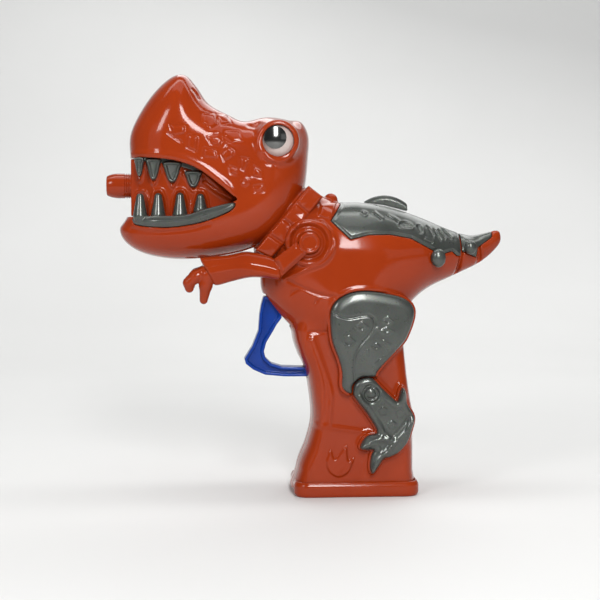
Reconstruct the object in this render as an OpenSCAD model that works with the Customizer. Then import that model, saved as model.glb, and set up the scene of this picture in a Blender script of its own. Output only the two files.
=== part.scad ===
// Dinosaur-shaped bubble machine: a battery toy with a pistol grip, a fan in the body and a
// nozzle between the teeth. The snout points along -X, the tail along +X, and the flat base of
// the grip stands on Z = 0 with the origin at its centre. Y = 0 is the seam between the halves.

/* [Casing] */
// Half width of the head at the cheeks
head_half_w = 22; // [20:0.5:23]
// Half width of the body at the shoulders
body_half_w = 21; // [20:0.5:22]
// Half width of the grip
grip_half_w = 15.3; // [15:0.1:16]
// Wall thickness of the two casing halves
wall = 2; // [1.6:0.1:2.2]

/* [Nozzle] */
// Outer radius of the nozzle tube
nozzle_r = 5.25; // [5:0.05:5.3]
// Radius of the air bore in the nozzle
nozzle_bore_r = 3.9; // [3.5:0.1:4]
// Height of the nozzle axis above the base
nozzle_z = 131; // [130:0.5:132]
// Front end of the nozzle
nozzle_tip_x = -105; // [-106:0.5:-103]

/* [Fan] */
// Height of the fan axis above the base
fan_z = 97; // [96:0.5:98]
// Outer radius of the fan housing
fan_housing_r = 16; // [15:0.5:16]
// Radius of the impeller
impeller_r = 13; // [11:0.5:13.5]
// Number of impeller blades
blade_count = 10; // [6:1:14]

/* [Trigger] */
// Pull of the trigger from rest to the stop
trigger_travel = 6; // [4:0.5:6]
// Width of the trigger across the grip
trigger_w = 9; // [8:0.5:9]

/* [Batteries] */
// Radius of an AA cell
cell_r = 7; // [6.9:0.05:7.1]
// Length of an AA cell without its positive nub
cell_len = 49; // [48:0.5:49.5]

/* [Hidden] */

$fn = 48;
eps = 0.05;
gap = 0.15;

body_colour = [0.72, 0.27, 0.14];
silver_colour = [0.42, 0.44, 0.42];
trigger_colour = [0.02, 0.2, 0.6];
brass_colour = [0.8, 0.65, 0.3];
steel_colour = [0.7, 0.7, 0.72];

// Side outlines as [x, z] points, each made into a smooth closed curve by smooth().
head_points = [[-95, 141], [-95, 152], [-90.5, 162], [-84, 171], [-77, 176.8], [-71.5, 177.2],
    [-67, 172.5], [-62, 165.5], [-54, 161], [-47, 158.2], [-38, 160], [-29, 158.8],
    [-23, 158], [-19.8, 152], [-20, 143], [-21.5, 130], [-26, 119.5], [-33, 111],
    [-43, 105], [-57, 101.5], [-74, 100], [-88, 102], [-96.5, 106.5], [-99.7, 112.5],
    [-96.5, 118.5], [-95, 130]];
body_points = [[-43, 104], [-40.5, 96], [-39.8, 87], [-36, 80.3], [-27, 70.5], [-14, 62],
    [6, 60], [18, 66], [23, 79], [31, 87], [44, 93.3], [55, 99.7], [62, 106.5],
    [63.5, 112], [57, 111], [50, 110.2], [41, 112.7], [28, 118], [14, 122.5], [2, 124.2],
    [-8, 124.6], [-19, 129.5], [-29, 133], [-40, 122]];
grip_points = [[-26, 74], [-26.6, 67], [-24.5, 60], [-21.5, 53.5], [-19.6, 44], [-18.6, 32.2],
    [-20.8, 22], [-25, 10], [-25, -8], [25, -8], [25, 10], [24.6, 32], [22.6, 48],
    [20.6, 65], [19, 80], [0, 90], [-18, 86]];
mouth_points = [[-112, 117.4], [-96, 117.8], [-84, 117.9], [-72, 118.3], [-63, 120.8],
    [-51, 124.2], [-53, 127], [-59.5, 132.4], [-66.2, 137.2], [-74, 140.3], [-84, 141.8],
    [-96, 142.4], [-112, 142.6]];
thigh_points = [[-11.6, 79.5], [-6.5, 85], [1, 87], [11, 86], [19.5, 83.5], [23, 78],
    [21, 68], [16.4, 62.5], [10.5, 55.5], [7.5, 52], [1.5, 51.9], [-2.2, 48.8], [-3, 45],
    [-6, 45.6], [-7.6, 50], [-9, 59.5], [-11.4, 67]];
lip_points = [[-97.2, 118], [-86, 118], [-72, 118.4], [-63, 121], [-52, 123.4],
    [-53.3, 120], [-63, 116], [-72, 114], [-81, 113.3], [-92, 114.4]];
shin_points = [[-1.4, 44], [2, 50], [7.5, 50], [12, 45], [16.5, 41.5], [17.6, 45.8],
    [19.6, 46.2], [20, 40], [23.4, 33.5], [22.3, 27], [20.2, 21.5], [16.5, 17.8],
    [11.5, 16.8], [6.8, 10.8], [5, 12.5], [6.5, 19.2], [1.2, 20.8], [2, 24], [7.5, 27.5],
    [3, 35.5]];
back_points = [[-6.6, 130], [-6.6, 123], [-11.5, 116], [-3.6, 108.3], [4, 110.2], [13, 110.4],
    [22, 108.8], [30, 104.6], [35, 102], [40.5, 103.4], [44, 101.5], [44, 118],
    [24, 130]];
tail_points = [[46, 103.6], [52.5, 100.6], [53, 105], [60.5, 110.6], [63, 116], [46, 118]];

// Half widths seen from above as [x, half width] pairs, from the snout to the tail.
head_plan = [[-101, 12], [-97, 15], [-84, 18], [-60, 20.5], [-38, 22], [-24, 21], [-17, 18]];
body_plan = [[-48, 15], [-38, 17.5], [-24, 20.3], [-10, 21], [18, 21], [30, 17.5],
    [46, 11], [58, 6], [66, 3.5]];

// Places that more than one part uses.
eye_pos = [-33.6, 148.7];
eye_r = 6.3;
eye_seat_y = 20;
shoulder_pos = [-20.9, 107];
fan_x = 8;
fan_back_y = 0;
fan_depth = 9.5;
fan_wall = 1.3;
cover_t = 1.2;
shaft_r = 0.75;
motor_len = 15;
outlet_z0 = fan_z + 5;
duct_wall = 1.5;
duct_bore_r = 4.2;
duct_r = duct_bore_r + duct_wall;
duct_elbow_swell = 0.25;
socket_x = -66;
cell_gap = 0.3;
cell_x = [1.8 - cell_r - cell_gap / 2, 1.8 + cell_r + cell_gap / 2];
cell_z = 6.5;
box_wall = 1;
box_x0 = cell_x[0] - cell_r - 0.2 - box_wall;
box_x1 = cell_x[1] + cell_r + 0.2 + box_wall;
box_y = cell_r + 0.2 + box_wall;
box_top_z = cell_z + cell_len + 3.5;
rail_z0 = 76.2;
rail_z1 = 82.4;
rail_half_w = 3.5;
rail_end_x = -20;
guide_x0 = -25;
guide_x1 = -5;
plunger_x = -22.5;
plunger_r = 1.2;
ramp_slope = 0.8 / 6;
ramp_z = 80.4;
screw_places = [[-76, 163], [-80, 108.5], [-53, 148], [-31, 89], [-15, 66.5], [28.5, 94],
    [47, 104]];
boss_r = 4.2;
edge_steps = [[3, 0.5], [7, 0.8], [12, 1]];
hollow_steps = [[3, 0.5], [10, 1]];
edge_fn = 12;
trim_t = 1.3;
thigh_y = 19.4;
shin_y = 17.4;

// Closed Catmull-Rom curve through the points, with n steps between neighbours.
function wrap(points, i) = points[(i + len(points)) % len(points)];
function curve(p0, p1, p2, p3, t) =
    0.5 * ((2 * p1) + (p2 - p0) * t + (2 * p0 - 5 * p1 + 4 * p2 - p3) * t * t
    + (3 * p1 - p0 - 3 * p2 + p3) * t * t * t);
function smooth(points, n = 2) = [
    for (i = [0 : len(points) - 1])
        for (k = [0 : n - 1])
            curve(wrap(points, i - 1), wrap(points, i), wrap(points, i + 1),
                wrap(points, i + 2), k / n)];

// Flat plate with a side outline, from y0 to y1 on the left (-Y) side.
module left_plate(y0, y1) {
    translate([0, -y0, 0])
        rotate([90, 0, 0])
            linear_extrude(height = y1 - y0)
                children();
}

// Cylinder along the width, from y0 to y1, at an [x, z] place.
module cross_pin(place, y0, y1, r) {
    translate([place[0], y0, place[1]])
        rotate([-90, 0, 0])
            cylinder(r = r, h = y1 - y0);
}

// Cylinder along the length, from x0 to x1, on the nozzle axis.
module nozzle_pin(x0, x1, r) {
    translate([x0, 0, nozzle_z])
        rotate([0, 90, 0])
            cylinder(r = r, h = x1 - x0);
}

module on_right() {
    mirror([0, 1, 0])
        children();
}

// Lens of revolution about Y, the cutter that rounds an edge.
module lens(r, half) {
    steps = 2;
    rotate([90, 0, 0])
        rotate_extrude($fn = edge_fn)
            polygon([
                for (i = [-steps : steps])
                    [r * cos(90 * i / steps), half * sin(90 * i / steps)]]);
}

// Slab with the outline as its silhouette and one rounded step of its domed sides.
module rounded_slab(outline, half, edge, grow) {
    minkowski() {
        rotate([90, 0, 0])
            linear_extrude(height = 0.02, center = true)
                offset(delta = grow - edge)
                    polygon(outline);
        lens(edge, half);
    }
}

// Plan of the half widths, mirrored about the seam.
module plan(pairs, grow) {
    linear_extrude(height = 200)
        offset(delta = grow)
            polygon(concat(pairs, [for (i = [len(pairs) - 1 : -1 : 0]) [pairs[i][0], -pairs[i][1]]]));
}

// Domed solid: stacked rounded slabs inside the plan. A negative grow gives the inner face.
module form(points, pairs, half, grow) {
    hollow = grow == -wall;
    outline = hollow ? points : smooth(points);
    intersection() {
        plan(pairs, grow);
        union() {
            for (step = hollow ? hollow_steps : edge_steps)
                rounded_slab(outline, half * step[1] + grow, step[0], grow);
        }
    }
}

module head_form(grow = 0) {
    form(head_points, head_plan, head_half_w, grow);
}

module body_form(grow = 0) {
    form(body_points, body_plan, body_half_w, grow);
}

module grip_form(grow = 0) {
    intersection() {
        union() {
            rounded_slab(grip_points, grip_half_w + grow, 6, grow);
            rounded_slab(grip_points, 0.7 * grip_half_w + grow, 3, grow);
        }
        translate([-60, -40, 2.6 - min(grow, 0)])
            cube([120, 80, 90]);
    }
}

// Outside of both casing halves together, before the openings are cut.
module casing_outside(grow = 0) {
    head_form(grow);
    body_form(grow);
    grip_form(grow);
}

// Raised neck band, shoulder disc, eye rims and thigh pads on the left side.
module left_reliefs() {
    left_plate(8, 18.6)
        polygon([[-21.2, 130], [-14.8, 126], [-36.3, 100.4], [-42.6, 103.8]]);
    cross_pin(shoulder_pos, -21.6, -12, 9.9);
    cross_pin(eye_pos, -22.4, -12, 8.5);
    translate([-10, 0, 125.2])
        sphere(r = 3);
    left_plate(12, thigh_y - gap)
        offset(delta = 1)
            polygon(smooth(thigh_points, 2));
    left_plate(12, shin_y - gap)
        offset(delta = 0.8)
            polygon(smooth(shin_points, 2));
}

// Everything cut from a left half: hollow, mouth, seats of the trim and slots of the trigger.
module left_cuts() {
    difference() {
        casing_outside(-wall);
        for (place = screw_places)
            cross_pin(place, -30, 0, boss_r);
        cross_pin(eye_pos, -30, -15, 8.5);
        left_plate(thigh_y - wall, 40)
            offset(delta = 1)
                polygon(smooth(thigh_points, 2));
        // skirt behind the lips, out to the strip of the upper teeth
        left_plate(13.2, 40)
            offset(delta = wall)
                polygon(smooth(mouth_points, 2));
    }
    left_plate(-1, 40)
        polygon(smooth(mouth_points, 2));
    cross_pin(eye_pos, -30, -16.4, eye_r + gap);
    left_plate(thigh_y - gap, 40)
        offset(delta = gap)
            polygon(smooth(thigh_points, 2));
    left_plate(shin_y - gap, 40)
        offset(delta = gap)
            polygon(smooth(shin_points, 2));
    translate([-44, -trigger_w / 2 - 0.4, 71.5])
        cube([20, trigger_w + 0.8, 13.7]);
    translate([-27, -trigger_w / 2 - 0.4, 49.3])
        cube([9.5, trigger_w + 0.8, 5.2]);
    left_plate(11.7 - gap, 40)
        offset(delta = gap)
            polygon(lip_points);
    // battery mouth in the floor of the grip
    translate([-20.4, -10, 0])
        cube([40.8, 20, 5]);
    for (place = [back_stud, tail_stud])
        cross_pin(place, -40, -place[2] + 1.6 + gap, place[3] + 2 * gap);
    // seats of the back and tail plates
    difference() {
        left_plate(-1, 40)
            union() {
                offset(delta = gap)
                    polygon(back_points);
                offset(delta = gap)
                    polygon(tail_points);
            }
        body_form(-trim_t - gap);
    }
}

module half_space_left() {
    translate([-150, -60, -10])
        cube([300, 60, 220]);
}

module left_casing() {
    intersection() {
        half_space_left();
        difference() {
            union() {
                casing_outside();
                left_reliefs();
            }
            left_cuts();
        }
    }
}

module shell_left() {
    color(body_colour)
        difference() {
            left_casing($fn = 16);
            for (place = screw_places)
                cross_pin(place, screw_tip_y(place) - 0.5, 1, 1, $fn = 12);
        }
}

module shell_right() {
    color(body_colour)
        difference() {
            on_right()
                left_casing($fn = 16);
            for (place = screw_places) {
                cross_pin(place, -1, 40, 1.5, $fn = 12);
                cross_pin(place, screw_seat_y(place), 40, 3.1, $fn = 16);
            }
            // air intake slots beside the fan
            for (k = [-2 : 2])
                translate([fan_x + 3.6 * k - 0.9, 10, fan_z - 7 + abs(k)])
                    cube([1.8, 20, 14 - 2 * abs(k)]);
        }
}

// Depth of the screw head's seat: deep enough to sink the head under the curved side.
function screw_seat_y(place) = place[0] > 40 ? 5 : place[0] > 20 ? 12 : 11;
function screw_tip_y(place) = place[0] > 40 ? -5.5 : -9;

module mouth_block() {
    color(body_colour)
        difference() {
            intersection() {
                left_plate(-11.5, 11.5)
                    polygon([[-94.6, 119.5], [-94.6, 140.6], [-91.8, 140.6], [-91.8, 146],
                        [-78, 146], [-64, 141], [-48.5, 138.5], [-48.5, 119], [-64, 116],
                        [-91, 113.5], [-91.8, 119.5]]);
                linear_extrude(height = 200)
                    polygon([[-95, -6], [-91.5, -6.8], [-85, -11.5], [-40, -11.5], [-40, 11.5],
                        [-85, 11.5], [-91.5, 6.8], [-95, 6]]);
            }
            // hollow back, with a sleeve left round the nozzle
            difference() {
                intersection() {
                    left_plate(-9.5, 9.5)
                        polygon([[-90, 116], [-90, 144], [-78, 144], [-64, 139], [-40, 137],
                            [-40, 121], [-64, 118]]);
                    linear_extrude(height = 200)
                        polygon([[-90, -6], [-84.5, -9.5], [-30, -9.5], [-30, 9.5],
                            [-84.5, 9.5], [-90, 6]]);
                }
                nozzle_pin(-91, -70, nozzle_r + 1.6);
            }
            nozzle_pin(-100, -69, nozzle_r + 0.1);
            nozzle_pin(-70, -40, duct_r + duct_wall + 0.4);
        }
}

module nozzle() {
    color(body_colour)
        difference() {
            union() {
                nozzle_pin(nozzle_tip_x + 3, socket_x + 5.5, nozzle_r);
                translate([nozzle_tip_x, 0, nozzle_z])
                    rotate([0, 90, 0])
                        cylinder(r1 = nozzle_r - 1, r2 = nozzle_r, h = 3);
            }
            nozzle_pin(nozzle_tip_x - 1, socket_x + 6, nozzle_bore_r);
            for (k = [0, 1])
                translate([-96.4 + 0.9 * k, 0, nozzle_z])
                    rotate([0, 90, 0])
                        rotate_extrude()
                            translate([nozzle_r - 0.2, 0])
                                square([1, 0.6]);
        }
}

// Rounded bar between two points, for pipes and limbs.
module bar(p, q, rp, rq) {
    hull() {
        translate(p)
            sphere(r = rp, $fn = 14);
        translate(q)
            sphere(r = rq, $fn = 14);
    }
}

// Straight cylinder between two points.
module pipe(p, q, r) {
    d = q - p;
    translate(p)
        rotate([0, acos(d[2] / norm(d)), atan2(d[1], d[0])])
            cylinder(r = r, h = norm(d));
}

duct_route = [[-14.5, 5.3, outlet_z0 + 5.5], [-24, 3, 113.5], [-43, 0, nozzle_z],
    [-58, 0, nozzle_z]];

module duct_run(r, first_ball) {
    for (i = [0 : 2])
        pipe(duct_route[i], duct_route[i + 1], r);
    for (i = [first_ball : 2])
        translate(duct_route[i])
            sphere(r = r + duct_elbow_swell);
}

module air_duct() {
    color([0.85, 0.85, 0.82])
        difference() {
            union() {
                duct_run(duct_r, 1);
                nozzle_pin(socket_x, -57, duct_r + duct_wall);
                translate([-15.2, -gap - duct_wall, outlet_z0 - gap - duct_wall])
                    cube([6.2, fan_depth + cover_t + 2 * (gap + duct_wall), 11 + 2 * (gap + duct_wall)]);
            }
            duct_run(duct_bore_r, 0);
            nozzle_pin(socket_x - 1, -60.2, nozzle_r + 0.1);
            translate([-14, -gap, outlet_z0 - gap])
                cube([10, fan_depth + cover_t + 2 * gap, 11 + 2 * gap]);
        }
}

// Side profile of the blower: the round scroll and its outlet channel.
module blower(y0, y1, inset) {
    cross_pin([fan_x, fan_z], y0, y1, fan_housing_r - inset);
    translate([-13.8, y0, outlet_z0 + inset])
        cube([fan_x + 13.8, y1 - y0, fan_housing_r - 5 - 2 * inset]);
}

// Outline of the motor: a round can with two flats.
module motor_profile(y0, y1, grow) {
    intersection() {
        cross_pin([fan_x, fan_z], y0, y1, 7.75 + grow);
        translate([fan_x - 10, y0, fan_z - 6 - grow])
            cube([20, y1 - y0, 12 + 2 * grow]);
    }
}

module fan_housing() {
    color([0.2, 0.2, 0.22])
        difference() {
            union() {
                blower(fan_back_y, fan_depth, 0);
                translate([fan_x - 9.2, -6, fan_z - 7.5])
                    cube([18.4, 6.5, 15]);
            }
            blower(fan_wall, fan_depth + 1, fan_wall);
            translate([-15, fan_wall, outlet_z0 + fan_wall])
                cube([3, fan_depth, fan_housing_r - 5 - 2 * fan_wall]);
            cross_pin([fan_x, fan_z], -1, fan_wall + 1, 3.2);
            motor_profile(-7, -0.03, 0.1);
        }
}

module fan_cover() {
    color([0.25, 0.25, 0.27])
        difference() {
            blower(fan_depth, fan_depth + cover_t, 0);
            cross_pin([fan_x, fan_z], fan_depth - 1, fan_depth + cover_t + 1, 6.5);
        }
}

module impeller() {
    y0 = fan_wall + 0.7;
    color([0.9, 0.9, 0.9])
        difference() {
            union() {
                cross_pin([fan_x, fan_z], y0, y0 + 1, impeller_r);
                cross_pin([fan_x, fan_z], y0, y0 + 6, 3.2);
                for (k = [0 : blade_count - 1])
                    translate([fan_x, 0, fan_z])
                        rotate([0, 360 * k / blade_count, 0])
                            translate([2.6, y0 + 0.5, 1])
                                rotate([0, 12, 0])
                                    cube([impeller_r - 3.6, 5.7, 0.9]);
            }
            cross_pin([fan_x, fan_z], -1, 20, shaft_r);
        }
}

module motor_shaft() {
    color(steel_colour)
        cross_pin([fan_x, fan_z], -13, 7.6, shaft_r);
}

module motor_can() {
    color(steel_colour)
        difference() {
            union() {
                motor_profile(-motor_len - 0.05, -0.05, 0);
                cross_pin([fan_x, fan_z], -0.1, 1.1, 3);
            }
            cross_pin([fan_x, fan_z], -13.2, 2, shaft_r + 0.06);
        }
}

module motor_end_cap() {
    color([0.95, 0.95, 0.9])
        motor_profile(-motor_len - 2, -motor_len - 0.05, -0.2);
    for (side = [-4, 4])
        color(brass_colour)
            translate([fan_x + side - 0.9, -motor_len - 3, fan_z - 1.5])
                cube([1.8, 1.05, 3]);
}

module battery_box() {
    color([0.15, 0.15, 0.16])
        difference() {
            union() {
                translate([box_x0, -box_y, 3])
                    cube([box_x1 - box_x0, 2 * box_y, box_top_z - 3]);
                translate([-17, 0, 3])
                    cylinder(r = 2.8, h = 11);
                translate([-17, -1, 3])
                    cube([4, 2, 11]);
            }
            translate([box_x0 + box_wall, -box_y + box_wall, 2])
                cube([box_x1 - box_x0 - 2 * box_wall, 2 * (box_y - box_wall), box_top_z - 3]);
            translate([-17, 0, 2])
                cylinder(r = 1.3, h = 11);
            for (x = cell_x)
                translate([x - 1.5, -0.5, box_top_z - 3])
                    cube([3, 1, 6]);
        }
}

module battery_front() {
    color([0.1, 0.35, 0.2])
        union() {
            translate([cell_x[0], 0, cell_z])
                cylinder(r = cell_r, h = cell_len);
            translate([cell_x[0], 0, cell_z + cell_len - eps])
                cylinder(r = 2.6, h = 1.2 + eps);
        }
}

module battery_rear() {
    color([0.1, 0.35, 0.2])
        union() {
            translate([cell_x[1], 0, cell_z + 1.2])
                cylinder(r = cell_r, h = cell_len);
            translate([cell_x[1], 0, cell_z])
                cylinder(r = 2.6, h = 1.2 + eps);
        }
}

module battery_terminals() {
    for (x = cell_x)
        color(brass_colour)
            union() {
                translate([x - 4.5, -4.5, box_top_z - 1.6])
                    cube([9, 9, 0.4]);
                translate([x - 1.2, -0.3, box_top_z - 1.5])
                    cube([2.4, 0.6, 4.2]);
            }
}

// Rounded rectangle from exact straight and round stretches.
module rounded_rect(x0, x1, half, r) {
    translate([x0 + r, -half])
        square([x1 - x0 - 2 * r, 2 * half]);
    translate([x0, -half + r])
        square([x1 - x0, 2 * half - 2 * r]);
    for (x = [x0 + r, x1 - r])
        for (y = [-half + r, half - r])
            translate([x, y])
                circle(r = r);
}

module base_ring() {
    color(body_colour)
        difference() {
            union() {
                linear_extrude(height = 4.8)
                    rounded_rect(-26.6, 26.6, 17.2, 6);
                linear_extrude(height = 6.3)
                    rounded_rect(-26, 26, 16.6, 5.4);
            }
            translate([0, 0, 2.5])
                linear_extrude(height = 5)
                    rounded_rect(-25.2, 25.2, 15.5, 1);
            translate([-19.8, -9.5, -1])
                cube([39.6, 19, 5]);
        }
}

module battery_door() {
    color(body_colour)
        difference() {
            translate([-19.6, -9.3, 0.4])
                cube([39.2, 18.6, 2]);
            translate([-17, 0, 0])
                cylinder(r = 1.4, h = 4);
            translate([-17, 0, 0])
                cylinder(r = 2.8, h = 1.9);
            for (k = [0 : 3])
                translate([13 + 1.4 * k, -6, 0])
                    cube([0.7, 12, 0.9]);
        }
}

// Wire of round section swept along a list of points.
function lerp(a, b, t) = a * (1 - t) + b * t;
function unit(v) = v / norm(v);
function tangent(path, i) =
    unit(path[min(i + 1, len(path) - 1)] - path[max(i - 1, 0)]);
function side_of(t) = unit(cross(t, abs(t[1]) < 0.8 ? [0, 1, 0] : [1, 0, 0]));
module swept_wire(path, r, sides = 6) {
    rings = [
        for (i = [0 : len(path) - 1])
            let (t = tangent(path, i), u = side_of(t), v = cross(t, u))
                for (k = [0 : sides - 1])
                    path[i] + r * (cos(360 * k / sides) * u + sin(360 * k / sides) * v)];
    n = len(path);
    polyhedron(points = rings, faces = concat(
        [[for (k = [0 : sides - 1]) k]],
        [[for (k = [sides - 1 : -1 : 0]) (n - 1) * sides + k]],
        [for (i = [0 : n - 2])
            for (k = [0 : sides - 1])
                for (half = [0, 1])
                    half == 0
                        ? [i * sides + k, (i + 1) * sides + k, (i + 1) * sides + (k + 1) % sides]
                        : [i * sides + k, (i + 1) * sides + (k + 1) % sides, i * sides + (k + 1) % sides]]));
}

// Helical spring along +Z from the origin; the side vectors follow the helix.
function helix(turns, height, r0, r1, steps) = [
    for (i = [0 : turns * steps])
        let (f = i / (turns * steps), a = 360 * i / steps)
            [lerp(r0, r1, f) * cos(a), lerp(r0, r1, f) * sin(a), height * f]];
module coil_spring(turns, height, r0, r1, wire_r) {
    steps = 12;
    sides = 6;
    path = helix(turns, height - 2 * wire_r, r0, r1, steps);
    n = len(path);
    rings = [
        for (i = [0 : n - 1])
            let (a = 360 * i / steps, out = [cos(a), sin(a), 0])
                for (k = [0 : sides - 1])
                    path[i] + [0, 0, wire_r]
                    + wire_r * (cos(360 * k / sides) * out + sin(360 * k / sides) * [0, 0, 1])];
    polyhedron(points = rings, faces = concat(
        [[for (k = [sides - 1 : -1 : 0]) k]],
        [[for (k = [0 : sides - 1]) (n - 1) * sides + k]],
        [for (i = [0 : n - 2])
            for (k = [0 : sides - 1])
                [i * sides + k, i * sides + (k + 1) % sides,
                    (i + 1) * sides + (k + 1) % sides, (i + 1) * sides + k]]));
}

module door_contact() {
    color(steel_colour) {
        translate([cell_x[0] - 5, -4.5, 2.45])
            cube([cell_x[1] - cell_x[0] + 10, 9, 0.4]);
        for (x = cell_x)
            translate([x, 0, 2.75])
                coil_spring(3, cell_z - 2.85, 3.8, 2.4, 0.35);
    }
}

module door_screw() {
    color(steel_colour)
        difference() {
            union() {
                translate([-17, 0, 0.6])
                    cylinder(r = 2.6, h = 1.25);
                translate([-17, 0, 1.8])
                    cylinder(r = 1.2, h = 9.5);
            }
            for (turn = [0, 90])
                translate([-17, 0, 0.6])
                    rotate([0, 0, turn])
                        cube([3.2, 0.7, 1.4], center = true);
        }
}

trigger_points = [[-40.2, 84], [-40.6, 73.2], [-41.7, 67], [-44.3, 62.2], [-47.4, 57.2],
    [-46.4, 55.2], [-42.7, 52.6], [-37.9, 50.6], [-30, 49.9], [-20.2, 49.9], [-20.2, 53.8],
    [-31.2, 54.2], [-35.7, 55.6], [-38.2, 58], [-38.9, 60.6], [-37.9, 64.5], [-35, 69.3],
    [-33.2, 72.6], [-33.6, 76], [-33.6, 84]];

module trigger() {
    color(trigger_colour)
        difference() {
            union() {
                left_plate(-trigger_w / 2, trigger_w / 2)
                    polygon(trigger_points);
                translate([-38, -rail_half_w, rail_z0])
                    cube([rail_end_x + 38, 2 * rail_half_w, rail_z1 - rail_z0]);
            }
            // side pockets that leave the I section
            for (side = [-1, 1])
                translate([0, side * (trigger_w / 2 + 1.6), 0])
                    left_plate(-3, 3)
                        offset(delta = -1.5)
                            polygon(trigger_points);
            // ramp under the switch plunger
            left_plate(-1.6, 1.6)
                polygon([[-31, rail_z1 + 1], [-31, ramp_z + ramp_slope * 8.5],
                    [-19, ramp_z - ramp_slope * 3.5], [-19, rail_z1 + 1]]);
        }
}

module trigger_guide() {
    color([0.85, 0.85, 0.82])
        difference() {
            translate([guide_x0, -5.5, rail_z0 - 2.2])
                cube([guide_x1 - guide_x0, 11, rail_z1 - rail_z0 + 4.4]);
            translate([guide_x0 - 1, -rail_half_w - 0.1, rail_z0 - 0.1])
                cube([guide_x1 - guide_x0 - 0.5, 2 * rail_half_w + 0.2, rail_z1 - rail_z0 + 0.2]);
            translate([plunger_x, 0, rail_z1 - 1])
                cylinder(r = plunger_r + 0.1, h = 6);
        }
}

module trigger_spring() {
    color(steel_colour)
        translate([rail_end_x + 0.05, 0, (rail_z0 + rail_z1) / 2])
            rotate([0, 90, 0])
                coil_spring(7, guide_x1 - 1.5 - rail_end_x - 0.1, 2.4, 2.4, 0.35);
}

module switch_case() {
    color([0.1, 0.1, 0.1])
        difference() {
            translate([-26.4, -3.2, 85])
                cube([12.8, 6.4, 6.3]);
            translate([plunger_x, 0, 84])
                cylinder(r = plunger_r + 0.1, h = 4.2);
        }
    for (x = [-24.8, -20, -15.2])
        color(brass_colour)
            translate([x - 1, -0.3, 91.3])
                cube([2, 0.6, 2.7]);
}

module switch_plunger() {
    color([0.9, 0.2, 0.1])
        translate([plunger_x, 0, ramp_z + 0.25])
            cylinder(r = plunger_r, h = 6.3);
}

wire_r = 0.6;
battery_switch_route = [[cell_x[0], -1, 61.5], [-6, -3, 63], [-7.6, -6.5, 67], [-8.5, -8.5, 73],
    [-10.5, -8.8, 80], [-13, -8.3, 87], [-15, -6.8, 92.5], [-15.4, -4, 95.5], [-15.2, -1.2, 94]];
switch_motor_route = [[-24.8, -1.2, 93.4], [-24.6, -3.2, 95.5], [-21, -6.5, 97.5], [-14, -10.5, 97.8],
    [-7, -14.5, 97.5], [-2.5, -17.1, 97.2], [0.5, -17.8, 97], [2.8, -17.8, 97]];
battery_motor_route = [[cell_x[1], -1, 61.5], [9.6, -3.5, 63.5], [11, -7, 69], [12, -10, 76],
    [12.3, -13, 81.5], [12.4, -16, 85], [12.2, -17.7, 89], [12, -17.8, 94.7]];

module wire_battery_switch() {
    color([0.7, 0.05, 0.05])
        swept_wire(battery_switch_route, wire_r);
}

module wire_switch_motor() {
    color([0.7, 0.05, 0.05])
        swept_wire(switch_motor_route, wire_r);
}

module wire_battery_motor() {
    color([0.05, 0.05, 0.05])
        swept_wire(battery_motor_route, wire_r);
}

// Ball that caps the eye, so that its dome stands out of the socket.
dome_h = 2.6;
dome_r = (eye_r * eye_r + dome_h * dome_h) / (2 * dome_h);
dome_y = eye_seat_y + 0.5 + dome_h - dome_r;

module eye_dome(r, y0) {
    intersection() {
        cross_pin(eye_pos, -26, -y0, r);
        translate([eye_pos[0], -dome_y, eye_pos[1]])
            sphere(r = dome_r, $fn = 64);
    }
}

module eye_left() {
    color([0.95, 0.9, 0.88])
        difference() {
            eye_dome(eye_r, 16.6);
            cross_pin(eye_pos, -26, -eye_seat_y - 1, 4.1);
        }
}

module iris_left() {
    color([0.3, 0.3, 0.32])
        eye_dome(4, eye_seat_y + 1.05);
}

module eye_right() {
    on_right()
        eye_left();
}

module iris_right() {
    on_right()
        iris_left();
}

// Upper teeth as [x, gum z, tip z, width].
upper_row = [[-90.6, 141.6, 134.2, 3.6], [-84.8, 141.2, 132.8, 5.6], [-77.1, 140, 131.8, 7],
    [-68.4, 136.2, 129.8, 6.6]];
// Lower teeth as [x, gum z, tip z, base width].
lower_row = [[-90.3, 117.8, 127.4, 5.4], [-82.9, 118, 127.6, 5.6], [-73.9, 118.2, 127.8, 5.8],
    [-65.5, 120, 127.4, 5.4]];

module upper_teeth_left() {
    color(silver_colour) {
        left_plate(11.6, 13)
            polygon([[-89.5, 141], [-77, 139.5], [-65.5, 136], [-65.5, 139.5], [-77, 143.5],
                [-89.5, 144.5]]);
        for (tooth = upper_row)
            left_plate(11.6, 14.4)
                polygon([[tooth[0] - tooth[3] / 2, tooth[1]], [tooth[0] - 0.7, tooth[2]],
                    [tooth[0] + 0.7, tooth[2]], [tooth[0] + tooth[3] / 2, tooth[1]]]);
    }
}

module upper_teeth_right() {
    on_right()
        upper_teeth_left();
}

module lower_tooth(x, gum_z, tip_z, w) {
    hull() {
        translate([x, -13.9, gum_z - 2])
            cylinder(r = w / 2 - 0.6, h = 1, $fn = 14);
        translate([x, -13.6, gum_z + 4])
            sphere(r = w / 2 - 0.9, $fn = 14);
    }
    hull() {
        translate([x, -13.6, gum_z + 4])
            sphere(r = w / 2 - 0.9, $fn = 14);
        translate([x, -13.3, tip_z - 1.5])
            sphere(r = 1.5, $fn = 14);
    }
}

module lower_teeth_left() {
    color(silver_colour)
        union() {
            intersection() {
                left_plate(11.7, 40)
                    polygon(lip_points);
                head_form();
            }
            for (tooth = lower_row)
                lower_tooth(tooth[0], tooth[1], tooth[2], tooth[3]);
        }
}

module lower_teeth_right() {
    on_right()
        lower_teeth_left();
}

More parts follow.
